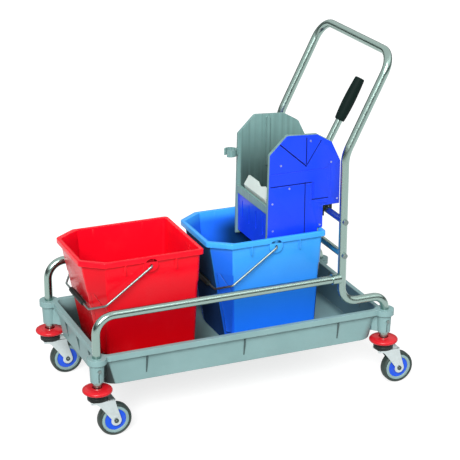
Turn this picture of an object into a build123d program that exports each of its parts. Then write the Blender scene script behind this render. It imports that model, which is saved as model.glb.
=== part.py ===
from build123d import *
import os
from math import acos, atan, ceil, cos, floor, pi, radians, sin, sqrt, tan

# Double-bucket mop trolley with a press wringer, in millimetres.
# +Z is up, +X runs towards the push handle, -Y is the left side of the user behind the handle.
# The origin is on the floor, under the middle of the whole trolley.

os.makedirs("parts", exist_ok=True)

# Fits
fit_gap = 0.05
side_gap = 0.1
seat_gap = 0.3
run_gap = 0.5

# Frame tubes
tube_d = 20.0
tube_wall = 1.5
rail_rise = 98.0
rail_gap = 50.1
rail_bend_r = 43.0
collar_d = 25.0
collar_length = 16.0
upright_setback = 118.6
heel_rise = 35.0
heel_bend_r = 33.0
upright_bend_r = 40.0
upright_h = 367.5
lean_bend_r = 90.0
handle_lean_x = 115.7
handle_rise = 229.3
handle_corner_r = 48.0
crossbar_d = 16.0
crossbar_rise = 43.5
crossbar_spacing = 84.0
bolt_d = 6.0
bolt_head_d = 13.0
bolt_head_h = 5.0
bolt_grip = 18.0

# Casters
wheel_d = 80.0
wheel_width = 24.0
caster_trail = 39.0
tyre_wall = 7.0
ring_wall = 7.4
tyre_edge_r = 4.5
hub_boss_d = 22.0
hub_web = 16.0
axle_d = 8.0
axle_head_d = 11.0
axle_head_h = 1.5
axle_bore_d = 4.5
fork_sheet = 2.5
fork_side_gap = 1.5
fork_crown_gap = 15.0
fork_crown_length = 58.0
fork_crown_shift = 9.0
fork_crown_drop = 8.0
fork_eye_r = 12.5
stem_d = 12.0
stem_head_d = 20.0
stem_head_h = 4.0
stem_reach = 60.0
housing_d = 48.0
housing_h = 16.6
bumper_d = 70.0
bumper_h = 14.0
bumper_edge_r = 5.0
housing_edge_r = 3.0

# Tray with its four corner sockets
tray_drop = 5.9
tray_h = 79.0
tray_wall = 4.0
tray_setback_x = 12.5
tray_setback_y = 3.0
tray_draft = 7.0
tray_top_corner_r = 20.0
tray_foot_corner_r = 40.0
lip_overhang = 8.0
lip_h = 14.0
lip_sheet = 3.0
socket_lift = 20.0
socket_collar_d = 46.0
socket_foot_d = 31.0
socket_neck_d = 35.0
socket_slit = 2.5
socket_slit_h = 24.0
socket_screw_lift = 52.0
socket_screw_d = 4.0
socket_screw_head_d = 8.0
socket_screw_head_h = 2.5
socket_screw_boss = 1.5
rib_sheet = 3.0
rib_h = 66.0
rib_pitch_x = 244.0
rib_pitch_y = 86.0

# Buckets
bucket_length = 293.8
bucket_width = 241.8
bucket_chamfer_x = 51.0
bucket_foot_chamfer_x = 6.0
bucket_chamfer_y = 37.6
bucket_corner_r = 9.0
bucket_height = 273.2
bucket_wall = 3.0
bucket_floor = 4.0
bucket_foot_recess = 1.5
bucket_foot_ring = 9.0
front_draft = 50.0
side_draft = 12.0
rear_draft = 10.0
rim_overhang = 7.0
rim_sheet = 3.0
skirt_h = 12.5
skirt_sheet = 2.5
bucket_front_reach = 5.4
bucket_gap = 19.6
bucket_rear_gap = 4.6
pivot_setback = 163.0
pivot_drop = 20.5
ear_margin = 1.0
bucket_rib_reach = 62.0
bucket_rib_h = 25.0
bucket_rib_sheet = 2.5

# Bails
bail_d = 5.0
bail_pin = 9.0
bail_bend_r = 4.8
bail_arm = 139.5
bail_reach = 173.5
bail_shoulder = 42.0
bail_shoulder_r = 10.0
bail_grip_d = 14.0
bail_grip_end_d = 12.5
bail_grip_length = 92.0

# Press wringer, with x measured from the top of the cheeks' front edge and h from the bucket's rim
hang_reach = 153.2
cheek_inset = 25.2
cheek_depth = 8.0
cheek_wall = 3.0
cheek_front_h = 197.5
cheek_front_lean = 5.3
crown_front_x = 43.8
crown_front_h = 240.5
crown_rear_x = 122.0
crown_rear_h = 235.5
shoulder_x = 159.8
shoulder_h = 213.5
cheek_rear_x = 184.3
cheek_rear_h = 163.5
cheek_corner_r = 9.0
cheek_foot_drop = 56.5
cheek_foot_depth = 6.0
cheek_rib_x = 77.0
cheek_rib_sheet = 9.0
cheek_rib_depth = 6.0
cheek_rib_h = 110.5
cheek_rib_length = 122.0
rim_lift = 1.0
cover_sheet = 2.5
cover_inset = 1.0
panel_sheet = 1.0
panel_inset = 4.0
panel_top_h = 117.5
pocket_x = 110.0
pocket_length = 57.0
pocket_h = 73.5
seam_x = 92.0
seam_w = 1.5
fan_x = 94.3
fan_h = 160.5
fan_line = 2.5
fan_sheet = 0.8
fan_ends = [(28.0, 219.5), (94.3, 228.5), (131.0, 216.5)]
screw_points = [
    (104.0, 221.5),
    (28.4, 169.5),
    (158.4, 163.5),
    (50.9, 110.5),
    (7.5, 77.5),
    (176.0, 70.5),
    (9.2, 9.5),
    (132.0, 9.5),
]
screw_d = 3.0
screw_head_d = 5.0
screw_head_h = 1.6
screw_length = 6.5
screw_boss_d = 9.0
shaft_x = 124.5
shaft_h = 122.5
shaft_d = 14.0
shaft_end_gap = 1.7
bush_d = 20.0
bush_flange_d = 26.0
bush_flange_h = 1.5
gear_module = 3.0
root_factor = 1.25
pinion_teeth = 20
pressure_angle = 20.0
gear_backlash = 0.4
gear_face = 10.0
gear_side_gap = 3.2
spring_d = 24.0
press_plate_x = 81.3
press_plate_sheet = 6.0
press_plate_top_h = 105.5
press_plate_lift = 3.0
press_rib_depth = 8.0
press_rib_sheet = 4.0
press_rib_pitch = 34.0
lug_length = 18.0
lug_h = 7.0
lug_root = 14.0
rack_setback = 2.0
rack_length = 88.0
rack_body_h = 8.0
rack_guide_h = 3.0
rack_guide_length = 92.0
front_bar_x = -2.5
front_bar_sheet = 7.0
front_bar_h = 49.5
front_bar_rise = 19.0
drain_panel_x = 0.5
drain_panel_sheet = 5.0
drain_panel_drop = 25.5
drain_slot_w = 5.0
drain_slot_h = 46.0
drain_slot_pitch = 40.0
drain_slots = 4
drain_floor_drop = 52.5
drain_floor_sheet = 4.0
drain_hole_d = 8.0
drain_hole_pitch = 16.0
jaw_half = 62.0
jaw_setback = 3.2
jaw_sheet = 4.0
jaw_bend_h = 64.0
jaw_nose_x = 4.5
jaw_nose_h = 13.0
jaw_lip_x = 8.0
jaw_lip_h = 34.0
jaw_notch_y = -10.0
jaw_notch_w = 40.0
jaw_notch_h = 6.0
jaw_slot_w = 4.0
jaw_slot_pitch = 18.0
jaw_slot_margin = 12.0
tie_rod_d = 6.0
tie_rod_head_d = 10.0
tie_rod_head_h = 4.0
tie_rod_points = [(130.0, 26.5), (165.0, 64.5)]
saddle_sheet = 4.0
saddle_leg = 14.0
lever_d = 17.0
lever_wall = 1.5
lever_lean = 28.3
lever_length = 258.0
lever_hub_d = 30.0
lever_hub_length = 20.0
lever_grip_length = 110.0
lever_grip_d = 29.0
lever_grip_end_d = 24.0
lever_grip_cap = 4.0
clip_bore_d = 24.0
clip_wall = 3.5
clip_sheet = 17.0
clip_h = 152.5
clip_inset = 6.0
clip_reach = 18.3
clip_mouth = 17.0
clip_neck = 8.0

# Positions and heights that follow from the sizes above
wheel_r = wheel_d / 2
bumper_r = bumper_d / 2
tube_r = tube_d / 2
bar_r = crossbar_d / 2
bucket_run = 2 * bucket_length + bucket_gap + bucket_rear_gap - bucket_front_reach
post_spacing_x = bucket_run + bar_r + upright_setback
post_spacing_y = bucket_width + 2 * rail_gap + tube_d
post_mid_x = (bumper_r - caster_trail - wheel_r) / 2
front_x = post_mid_x - post_spacing_x / 2
rear_x = post_mid_x + post_spacing_x / 2
post_y = post_spacing_y / 2
upright_x = rear_x - upright_setback
handle_x = upright_x + handle_lean_x
sides = {"left": -1, "right": 1}
ends = {"front": front_x, "rear": rear_x}
posts = [(x, side * post_y) for x in ends.values() for side in sides.values()]
fork_crown_z = wheel_d + fork_crown_gap
housing_z = fork_crown_z + seat_gap
bumper_z = housing_z + housing_h
tube_end_z = bumper_z + bumper_h
tray_z = tube_end_z - tray_drop
tray_floor_z = tray_z + tray_wall
tray_top_z = tray_z + tray_h
socket_z = tray_z + socket_lift
socket_screw_z = tray_z + socket_screw_lift
rail_z = tray_top_z + rail_rise
heel_z = tray_top_z + heel_rise
lean_z = heel_z + upright_h
handle_z = lean_z + handle_rise
bucket_z = tray_floor_z + seat_gap
bucket_rim_z = bucket_z + bucket_height
crossbar_high_z = bucket_rim_z + crossbar_rise
crossbar_low_z = crossbar_high_z - crossbar_spacing
upward = (Align.CENTER, Align.CENTER, Align.MIN)
downward = (Align.CENTER, Align.CENTER, Align.MAX)

# Base tray
tray_top_x = post_spacing_x - 2 * tray_setback_x
tray_top_y = post_spacing_y - 2 * tray_setback_y
tray_foot_x = tray_top_x - 2 * tray_draft
tray_foot_y = tray_top_y - 2 * tray_draft
lip_x = tray_top_x + 2 * lip_overhang
lip_y = tray_top_y + 2 * lip_overhang
lip_corner_r = tray_top_corner_r + lip_overhang
collar_z = tray_top_z - lip_h
socket_screw_face = socket_neck_d / 2 + socket_screw_boss


def tray_outline(length, width, corner_r):
    """A rounded rectangle centred between the four posts."""
    with BuildSketch() as outline:
        with Locations((post_mid_x, 0)):
            RectangleRounded(length, width, corner_r)
    return outline.sketch


def rib_planes():
    """Planes that stand on the tray's four walls, square to each wall, with x pointing outwards."""
    planes = []
    for side in sides.values():
        wall_y = side * tray_foot_y / 2
        wall_x = post_mid_x + side * tray_foot_x / 2
        for step in (-1, 0, 1):
            rib_x = post_mid_x + step * rib_pitch_x
            planes.append(Plane((rib_x, wall_y, 0), x_dir=(0, side, 0), z_dir=(side, 0, 0)))
            planes.append(Plane((wall_x, step * rib_pitch_y, 0), x_dir=(side, 0, 0), z_dir=(0, -side, 0)))
    return planes


rib_top_z = tray_top_z - lip_sheet
rib_reach = tray_draft + lip_overhang - lip_sheet
rib_outline = [(0, rib_top_z), (rib_reach, rib_top_z), (0, rib_top_z - rib_h)]
web_places = []
screw_places = []
slit_places = []
for x, y in posts:
    inward_x = 1 if x < post_mid_x else -1
    outward_y = 1 if y > 0 else -1
    web_shift = socket_collar_d / 2 * cos(radians(45))
    web_z = (socket_z + tray_top_z) / 2
    web_turn = 45 * inward_x * -outward_y
    web_middle = (x + inward_x * web_shift, y - outward_y * web_shift, web_z)
    web_places.append(Location(web_middle, (0, 0, web_turn)))
    screw_places.append(Location((x, y, socket_screw_z), (-90 * outward_y, 0, 0)))
    slit_places.append(Location((x, y + outward_y * socket_collar_d / 2, socket_z)))

with BuildPart() as base_tray:
    with BuildSketch(Plane.XY.offset(tray_z)):
        add(tray_outline(tray_foot_x, tray_foot_y, tray_foot_corner_r))
    with BuildSketch(Plane.XY.offset(tray_top_z)):
        add(tray_outline(tray_top_x, tray_top_y, tray_top_corner_r))
    loft()
    with BuildSketch(Plane.XY.offset(tray_top_z - lip_sheet)):
        add(tray_outline(lip_x, lip_y, lip_corner_r))
    extrude(amount=lip_sheet)
    with BuildSketch(Plane.XY.offset(collar_z)):
        add(tray_outline(lip_x, lip_y, lip_corner_r))
        offset(amount=-lip_sheet, mode=Mode.SUBTRACT)
        with Locations(*posts):
            Circle(socket_collar_d / 2)
    extrude(amount=lip_h)
    # Triangular ribs under the lip, three on each wall
    for rib_plane in rib_planes():
        with BuildSketch(rib_plane):
            with BuildLine():
                Polyline(*rib_outline, close=True)
            make_face()
    extrude(amount=rib_sheet / 2, both=True)
    # Corner sockets: a tapered neck under each collar, a web back to the wall and a screw boss
    with Locations(*[(x, y, (socket_z + collar_z) / 2) for x, y in posts]):
        Cone(socket_foot_d / 2, socket_neck_d / 2, collar_z - socket_z)
    with Locations(*web_places):
        Box(socket_collar_d, socket_foot_d / 2, tray_top_z - socket_z)
    with Locations(*screw_places):
        Cylinder(socket_screw_head_d / 2, socket_screw_face, align=upward)
    with BuildSketch(Plane.XY.offset(tray_floor_z)):
        add(tray_outline(tray_foot_x, tray_foot_y, tray_foot_corner_r))
        offset(amount=-tray_wall, mode=Mode.REPLACE)
    with BuildSketch(Plane.XY.offset(tray_top_z)):
        add(tray_outline(tray_top_x, tray_top_y, tray_top_corner_r))
        offset(amount=-tray_wall, mode=Mode.REPLACE)
    loft(mode=Mode.SUBTRACT)
    with Locations(*[(x, y, tray_top_z) for x, y in posts]):
        Cylinder(tube_r + fit_gap, 2 * tray_top_z, mode=Mode.SUBTRACT)
    with Locations(*slit_places):
        Box(socket_slit, socket_collar_d, 2 * socket_slit_h, mode=Mode.SUBTRACT)
    with Locations(*screw_places):
        Cylinder(socket_screw_d / 2 + fit_gap, socket_collar_d, align=upward, mode=Mode.SUBTRACT)
base_tray.part.label = "base_tray"
export_step(base_tray.part, "parts/base_tray.step")

# Side rails, from each front socket up and back to the upright
rail_end_x = upright_x - tube_r - side_gap
for side_name, side in sides.items():
    with BuildPart() as side_rail:
        with BuildLine():
            FilletPolyline(
                (front_x, side * post_y, tube_end_z),
                (front_x, side * post_y, rail_z),
                (rail_end_x, side * post_y, rail_z),
                radius=rail_bend_r,
            )
        with BuildSketch(Plane((front_x, side * post_y, tube_end_z))):
            Circle(tube_r)
            Circle(tube_r - tube_wall, mode=Mode.SUBTRACT)
        sweep()
        with Locations(Location((front_x, side * post_y, socket_screw_z), (-90 * side, 0, 0))):
            Cylinder(socket_screw_d / 2 + fit_gap, tube_d, align=upward, mode=Mode.SUBTRACT)
    side_rail.part.label = f"side_rail_{side_name}"
    export_step(side_rail.part, f"parts/side_rail_{side_name}.step")

# Collars that join the rails to the uprights
with BuildPart() as rail_collars:
    for side in sides.values():
        collar_start = (rail_end_x - collar_length, side * post_y, rail_z)
        with BuildSketch(Plane(collar_start, x_dir=(0, 1, 0), z_dir=(1, 0, 0))):
            Circle(collar_d / 2)
            Circle(tube_r + fit_gap, mode=Mode.SUBTRACT)
    extrude(amount=collar_length + tube_r / 2)
    with Locations((upright_x, -post_y, rail_z), (upright_x, post_y, rail_z)):
        Cylinder(tube_r + fit_gap, 2 * collar_d, mode=Mode.SUBTRACT)
rail_collars.part.label = "rail_collars"
export_step(rail_collars.part, "parts/rail_collars.step")

# Push handle: one bent tube from one rear socket over the top to the other
crossbars = {"upper": crossbar_high_z, "lower": crossbar_low_z}
half_handle = [
    (rear_x, tube_end_z),
    (rear_x, heel_z),
    (upright_x, heel_z),
    (upright_x, lean_z),
    (handle_x, handle_z),
]
handle_points = [(x, -post_y, z) for x, z in half_handle]
handle_points += [(x, post_y, z) for x, z in reversed(half_handle)]
half_radii = [heel_bend_r, upright_bend_r, lean_bend_r, handle_corner_r]
with BuildPart() as handle_frame:
    with BuildLine():
        FilletPolyline(*handle_points, radius=half_radii + half_radii[::-1])
    with BuildSketch(Plane((rear_x, -post_y, tube_end_z))):
        Circle(tube_r)
        Circle(tube_r - tube_wall, mode=Mode.SUBTRACT)
    sweep()
    with Locations(*[Location((upright_x, 0, z), (90, 0, 0)) for z in crossbars.values()]):
        Cylinder(bolt_d / 2 + fit_gap, post_spacing_y + 2 * tube_d, mode=Mode.SUBTRACT)
    for side in sides.values():
        with Locations(Location((rear_x, side * post_y, socket_screw_z), (-90 * side, 0, 0))):
            Cylinder(socket_screw_d / 2 + fit_gap, tube_d, align=upward, mode=Mode.SUBTRACT)
handle_frame.part.label = "handle_frame"
export_step(handle_frame.part, "parts/handle_frame.step")

# Cross bars between the uprights, coped to the tubes and drilled for their end bolts
bolt_tip_y = post_y - tube_r - bolt_grip
bolt_hole_length = post_y - bolt_tip_y + run_gap
bolt_places = [
    Location((upright_x, side * bolt_tip_y, z), (-90 * side, 0, 0))
    for side in sides.values()
    for z in crossbars.values()
]
for bar_name, bar_z in crossbars.items():
    with BuildPart() as crossbar:
        with Locations(Location((upright_x, 0, bar_z), (90, 0, 0))):
            Cylinder(bar_r, post_spacing_y)
        with Locations((upright_x, -post_y, bar_z), (upright_x, post_y, bar_z)):
            Cylinder(tube_r + fit_gap, 2 * crossbar_d, mode=Mode.SUBTRACT)
        for side in sides.values():
            with Locations(Location((upright_x, side * (bolt_tip_y - run_gap), bar_z), (-90 * side, 0, 0))):
                Cylinder(bolt_d / 2 + fit_gap, bolt_hole_length, align=upward, mode=Mode.SUBTRACT)
    crossbar.part.label = f"crossbar_{bar_name}"
    export_step(crossbar.part, f"parts/crossbar_{bar_name}.step")

with BuildPart() as crossbar_bolts:
    bolt_length = post_y + tube_r + bolt_head_h - bolt_tip_y
    with Locations(*bolt_places):
        Cylinder(bolt_head_d / 2, bolt_length, align=upward)
    with Locations((upright_x, 0, (crossbar_high_z + crossbar_low_z) / 2)):
        Box(2 * tube_d, post_spacing_y, crossbar_high_z, mode=Mode.SUBTRACT)
    with Locations((upright_x, -post_y, crossbar_low_z), (upright_x, post_y, crossbar_low_z)):
        Cylinder(tube_r + fit_gap, 2 * crossbar_high_z, mode=Mode.SUBTRACT)
    with Locations(*bolt_places):
        Cylinder(bolt_d / 2, bolt_length - bolt_head_h / 2, align=upward)
crossbar_bolts.part.label = "crossbar_bolts"
export_step(crossbar_bolts.part, "parts/crossbar_bolts.step")

# Screws that pin the tubes in their sockets
with BuildPart() as socket_screws:
    screw_tip = tube_r - tube_wall + side_gap
    with Locations(*[place * Location((0, 0, screw_tip)) for place in screw_places]):
        Cylinder(socket_screw_d / 2, socket_screw_face - screw_tip, align=upward)
    with Locations(*[place * Location((0, 0, socket_screw_face)) for place in screw_places]):
        Cylinder(socket_screw_head_d / 2, socket_screw_head_h, align=upward)
socket_screws.part.label = "socket_screws"
export_step(socket_screws.part, "parts/socket_screws.step")

# Red bumper discs under the sockets
with BuildPart() as bumper_discs:
    with Locations(*[(x, y, bumper_z) for x, y in posts]):
        Cylinder(bumper_r, bumper_h, align=upward)
    fillet(bumper_discs.edges().filter_by(GeomType.CIRCLE), bumper_edge_r)
    with Locations(*[(x, y, bumper_z) for x, y in posts]):
        Cylinder(stem_d / 2 + fit_gap, 3 * bumper_h, mode=Mode.SUBTRACT)
bumper_discs.part.label = "bumper_discs"
export_step(bumper_discs.part, "parts/bumper_discs.step")

# Swivel bearing housings between the discs and the forks
with BuildPart() as swivel_housings:
    with Locations(*[(x, y, housing_z) for x, y in posts]):
        Cylinder(housing_d / 2, housing_h, align=upward)
    fillet(swivel_housings.edges().filter_by(GeomType.CIRCLE).group_by(Axis.Z)[0], housing_edge_r)
    with Locations(*[(x, y, housing_z) for x, y in posts]):
        Cylinder(stem_d / 2 + fit_gap, 3 * housing_h, mode=Mode.SUBTRACT)
swivel_housings.part.label = "swivel_housings"
export_step(swivel_housings.part, "parts/swivel_housings.step")

# Caster stems: a rivet head under the fork crown, a pin, and a plug pushed up into the tube
stem_pin_z = fork_crown_z - fork_sheet - seat_gap
with BuildPart() as caster_stems:
    with Locations(*[(x, y, stem_pin_z) for x, y in posts]):
        Cylinder(stem_head_d / 2, stem_head_h, align=downward)
        Cylinder(stem_d / 2, tube_end_z - stem_pin_z, align=upward)
    with Locations(*[(x, y, tube_end_z) for x, y in posts]):
        Cylinder(tube_r - tube_wall - fit_gap, stem_reach, align=upward)
caster_stems.part.label = "caster_stems"
export_step(caster_stems.part, "parts/caster_stems.step")

# Swivel casters
axle_z = wheel_r
fork_gap = wheel_width / 2 + fork_side_gap
fork_half = fork_gap + fork_sheet
ring_r = wheel_r - tyre_wall
hub_r = ring_r - ring_wall
hub_length = 2 * (fork_gap - run_gap)
for end_name, post_x in ends.items():
    for side_name, side in sides.items():
        caster_name = f"caster_{end_name}_{side_name}"
        caster_y = side * post_y
        wheel_x = post_x + caster_trail
        wheel_place = Location((wheel_x, caster_y, axle_z), (90, 0, 0))
        with BuildPart() as fork:
            for leg_face in (fork_half - caster_y, -fork_gap - caster_y):
                with BuildSketch(Plane.XZ.offset(leg_face - fork_sheet)):
                    with Locations((post_x + fork_crown_shift, fork_crown_z - fork_crown_drop / 2)):
                        Rectangle(fork_crown_length, fork_crown_drop)
                    with Locations((wheel_x, axle_z)):
                        Circle(fork_eye_r)
                    make_hull()
                    with Locations((wheel_x, axle_z)):
                        Circle(axle_d / 2 + fit_gap, mode=Mode.SUBTRACT)
            extrude(amount=fork_sheet)
            with Locations((post_x + fork_crown_shift, caster_y, fork_crown_z)):
                Box(fork_crown_length, 2 * fork_half, fork_sheet, align=downward)
            with Locations((post_x, caster_y, fork_crown_z)):
                Cylinder(stem_d / 2 + fit_gap, 2 * fork_crown_drop, mode=Mode.SUBTRACT)
        fork.part.label = f"{caster_name}_fork"
        export_step(fork.part, f"parts/{caster_name}_fork.step")

        with BuildPart() as axle:
            with Locations(wheel_place):
                Cylinder(axle_d / 2, 2 * (fork_half + axle_head_h))
            for head_face in (fork_half - caster_y, -fork_half - axle_head_h - caster_y):
                with BuildSketch(Plane.XZ.offset(head_face)):
                    with Locations((wheel_x, axle_z)):
                        Circle(axle_head_d / 2)
            extrude(amount=axle_head_h)
            with Locations(wheel_place):
                Cylinder(axle_bore_d / 2, 2 * wheel_r, mode=Mode.SUBTRACT)
        axle.part.label = f"{caster_name}_axle"
        export_step(axle.part, f"parts/{caster_name}_axle.step")

        with BuildPart() as tyre:
            with Locations(wheel_place):
                Cylinder(wheel_r, wheel_width)
            fillet(tyre.edges().filter_by(GeomType.CIRCLE), tyre_edge_r)
            with Locations(wheel_place):
                Cylinder(ring_r, 2 * wheel_width, mode=Mode.SUBTRACT)
        tyre.part.label = f"{caster_name}_tyre"
        export_step(tyre.part, f"parts/{caster_name}_tyre.step")

        with BuildPart() as wheel_ring:
            with Locations(wheel_place):
                Cylinder(ring_r - fit_gap, wheel_width - tyre_edge_r / 2)
                Cylinder(hub_r + fit_gap, 2 * wheel_width, mode=Mode.SUBTRACT)
        wheel_ring.part.label = f"{caster_name}_ring"
        export_step(wheel_ring.part, f"parts/{caster_name}_ring.step")

        with BuildPart() as hub:
            with Locations(wheel_place):
                Cylinder(hub_r, hub_web)
                Cylinder(hub_boss_d / 2, hub_length)
                Cylinder(axle_d / 2 + fit_gap, 2 * hub_length, mode=Mode.SUBTRACT)
        hub.part.label = f"{caster_name}_hub"
        export_step(hub.part, f"parts/{caster_name}_hub.step")

# Buckets with their bails
red_rim_x = front_x - bucket_front_reach
blue_rim_x = red_rim_x + bucket_length + bucket_gap
buckets = {"red": red_rim_x, "blue": blue_rim_x}
rim_half = bucket_width / 2
wall_half = rim_half - rim_overhang
foot_half = wall_half - side_draft
bail_z = bucket_rim_z - pivot_drop
ear_r = pivot_drop - ear_margin
skirt_z = bucket_rim_z - skirt_h
bucket_rib_z = skirt_z - bucket_rib_h
wall_lean = atan(front_draft / bucket_height)
wall_distance = (pivot_setback - rim_overhang) * cos(wall_lean) - pivot_drop * sin(wall_lean)
bail_rest = wall_lean + acos((wall_distance + bail_grip_d / 2 + run_gap) / bail_reach)
pin_tip_y = rim_half - bail_pin
arm_y = rim_half + run_gap + bail_bend_r
shoulder_y = arm_y - bail_shoulder


def bucket_outline(front, rear, half_width, chamfer_x):
    """The bucket's plan: a box with its two front corners cut off, all corners rounded."""
    with BuildSketch() as outline:
        with BuildLine():
            Polyline(
                (front, bucket_chamfer_y - half_width),
                (front + chamfer_x, -half_width),
                (rear, -half_width),
                (rear, half_width),
                (front + chamfer_x, half_width),
                (front, half_width - bucket_chamfer_y),
                close=True,
            )
        make_face()
        fillet(outline.vertices(), bucket_corner_r)
    return outline.sketch


for bucket_name, rim_x in buckets.items():
    rim_plan = bucket_outline(rim_x, rim_x + bucket_length, rim_half, bucket_chamfer_x)
    wall_front = rim_x + rim_overhang
    wall_rear = rim_x + bucket_length - rim_overhang
    wall_plan = bucket_outline(wall_front, wall_rear, wall_half, bucket_chamfer_x)
    foot_front = wall_front + front_draft
    foot_plan = bucket_outline(foot_front, wall_rear - rear_draft, foot_half, bucket_foot_chamfer_x)
    bail_x = rim_x + pivot_setback
    ear_places = [Location((bail_x, side * rim_half, bail_z), (90 * side, 0, 0)) for side in sides.values()]
    bucket_rib_places = [
        (bail_x + step * bucket_rib_reach, side * (rim_half - skirt_sheet / 2), bucket_rib_z)
        for side in sides.values()
        for step in (-1, 1)
    ]
    with BuildPart() as bucket:
        with BuildSketch(Plane.XY.offset(bucket_z)):
            add(foot_plan)
        with BuildSketch(Plane.XY.offset(bucket_rim_z)):
            add(wall_plan)
        loft()
        with BuildSketch(Plane.XY.offset(bucket_rim_z - rim_sheet)):
            add(rim_plan)
        extrude(amount=rim_sheet)
        with BuildSketch(Plane.XY.offset(skirt_z)):
            add(rim_plan)
            offset(amount=-skirt_sheet, mode=Mode.SUBTRACT)
        extrude(amount=skirt_h)
        with Locations(*ear_places):
            Cylinder(ear_r, 2 * rim_overhang, align=upward)
        with Locations(*bucket_rib_places):
            Box(bucket_rib_sheet, 3 * rim_overhang, bucket_rib_h + skirt_h - rim_sheet, align=upward)
        with BuildSketch(Plane.XY.offset(bucket_z - bucket_rim_z)):
            add(rim_plan)
            offset(amount=3 * rim_overhang, mode=Mode.REPLACE)
            add(rim_plan, mode=Mode.SUBTRACT)
        extrude(amount=2 * bucket_rim_z, mode=Mode.SUBTRACT)
        with BuildSketch(Plane.XY.offset(bucket_z + bucket_floor)):
            add(foot_plan)
            offset(amount=-bucket_wall, mode=Mode.REPLACE)
        with BuildSketch(Plane.XY.offset(bucket_rim_z)):
            add(wall_plan)
            offset(amount=-bucket_wall, mode=Mode.REPLACE)
        loft(mode=Mode.SUBTRACT)
        with BuildSketch(Plane.XY.offset(bucket_z)):
            add(foot_plan)
            offset(amount=-bucket_foot_ring, mode=Mode.REPLACE)
        extrude(amount=bucket_foot_recess, mode=Mode.SUBTRACT)
        with Locations(*ear_places):
            Cylinder(bail_d / 2 + fit_gap, bail_pin + run_gap, align=upward, mode=Mode.SUBTRACT)
    bucket.part.label = f"{bucket_name}_bucket"
    export_step(bucket.part, f"parts/{bucket_name}_bucket.step")

    # The bail hangs forward until its grip lies on the bucket's front wall
    bail_dir = (-cos(bail_rest), 0, -sin(bail_rest))
    bail_plane = Plane((bail_x, 0, bail_z), x_dir=bail_dir, z_dir=(sin(bail_rest), 0, -cos(bail_rest)))
    with BuildPart() as bail:
        with BuildLine(bail_plane):
            FilletPolyline(
                (0, -pin_tip_y),
                (0, -arm_y),
                (bail_arm, -arm_y),
                (bail_reach, -shoulder_y),
                (bail_reach, shoulder_y),
                (bail_arm, arm_y),
                (0, arm_y),
                (0, pin_tip_y),
                radius=[bail_bend_r] + 4 * [bail_shoulder_r] + [bail_bend_r],
            )
        with BuildSketch(Plane((bail_x, -pin_tip_y, bail_z), x_dir=(1, 0, 0), z_dir=(0, -1, 0))):
            Circle(bail_d / 2)
        sweep()
    bail.part.label = f"{bucket_name}_bail"
    export_step(bail.part, f"parts/{bucket_name}_bail.step")

    grip_x = bail_x - bail_reach * cos(bail_rest)
    grip_z = bail_z - bail_reach * sin(bail_rest)
    grip_half = bail_grip_length / 2
    with BuildPart() as bail_grip:
        with BuildSketch(Plane((grip_x, 0, grip_z), x_dir=(0, 1, 0), z_dir=(1, 0, 0))):
            with BuildLine():
                ThreePointArc(
                    (-grip_half, bail_grip_end_d / 2), (0, bail_grip_d / 2), (grip_half, bail_grip_end_d / 2)
                )
                Polyline(
                    (grip_half, bail_grip_end_d / 2),
                    (grip_half, bail_d / 2 + fit_gap),
                    (-grip_half, bail_d / 2 + fit_gap),
                    (-grip_half, bail_grip_end_d / 2),
                )
            make_face()
        revolve(axis=Axis((grip_x, 0, grip_z), (0, 1, 0)))
    bail_grip.part.label = f"{bucket_name}_bail_grip"
    export_step(bail_grip.part, f"parts/{bucket_name}_bail_grip.step")

# Press wringer, which hangs on the upper cross bar and stands in the blue bucket
wringer_x = upright_x - hang_reach
wringer_plane = Plane((wringer_x, 0, bucket_rim_z), x_dir=(1, 0, 0), z_dir=(0, -1, 0))
cross_plane = Plane((wringer_x, 0, bucket_rim_z), x_dir=(0, 1, 0), z_dir=(1, 0, 0))
cheek_outer_y = rim_half - cheek_inset
cheek_inner_y = cheek_outer_y - cheek_depth
cavity_y = cheek_inner_y + cheek_wall
gear_y = cheek_inner_y - gear_side_gap - gear_face
inner_half = cheek_inner_y - side_gap
notch_x = hang_reach - bar_r - seat_gap - saddle_sheet
notch_h = crossbar_rise + bar_r + seat_gap + saddle_sheet
tail_x = hang_reach - bar_r - bucket_rear_gap - rim_overhang - bucket_wall - run_gap
tail_foot_x = tail_x - cheek_foot_drop * rear_draft / (bucket_height - bucket_floor)
pinion_r = gear_module * pinion_teeth / 2
tip_r = pinion_r + gear_module
root_depth = root_factor * gear_module
root_r = pinion_r - root_depth
base_r = pinion_r * cos(radians(pressure_angle))
half_tooth = pi / (2 * pinion_teeth) - gear_backlash / (4 * pinion_r)
rack_h = shaft_h - pinion_r
rack_foot_h = rack_h - root_depth - rack_body_h
press_back_x = press_plate_x + press_plate_sheet
rack_x = press_back_x + rack_setback
lug_mid_h = rack_foot_h + rack_body_h / 2
drain_floor_h = drain_floor_sheet - drain_floor_drop
floor_x = drain_panel_x + drain_panel_sheet + run_gap
jaw_x = floor_x + jaw_setback


def front_edge(h):
    """Where the cheeks' leaning front edge is at a height."""
    return (h - cheek_front_h) * cheek_front_lean / (cheek_front_h + cheek_foot_drop)


def cheek_outline(foot):
    """The cheek's side view, ending downwards in the given foot, with the upper corners rounded."""
    with BuildSketch() as outline:
        with BuildLine():
            Polyline(
                (0, cheek_front_h),
                (crown_front_x, crown_front_h),
                (crown_rear_x, crown_rear_h),
                (shoulder_x, shoulder_h),
                (cheek_rear_x, cheek_rear_h),
                (cheek_rear_x, notch_h),
                (notch_x, notch_h),
                *foot,
                close=True,
            )
        make_face()
        fillet(outline.vertices().filter_by_position(Axis.Y, cheek_rear_h, crown_front_h), cheek_corner_r)
    return outline.sketch


def involute(radius):
    """The angle that an involute of the base circle has turned through at a radius."""
    slope = sqrt((radius / base_r) ** 2 - 1)
    return slope - atan(slope)


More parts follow.
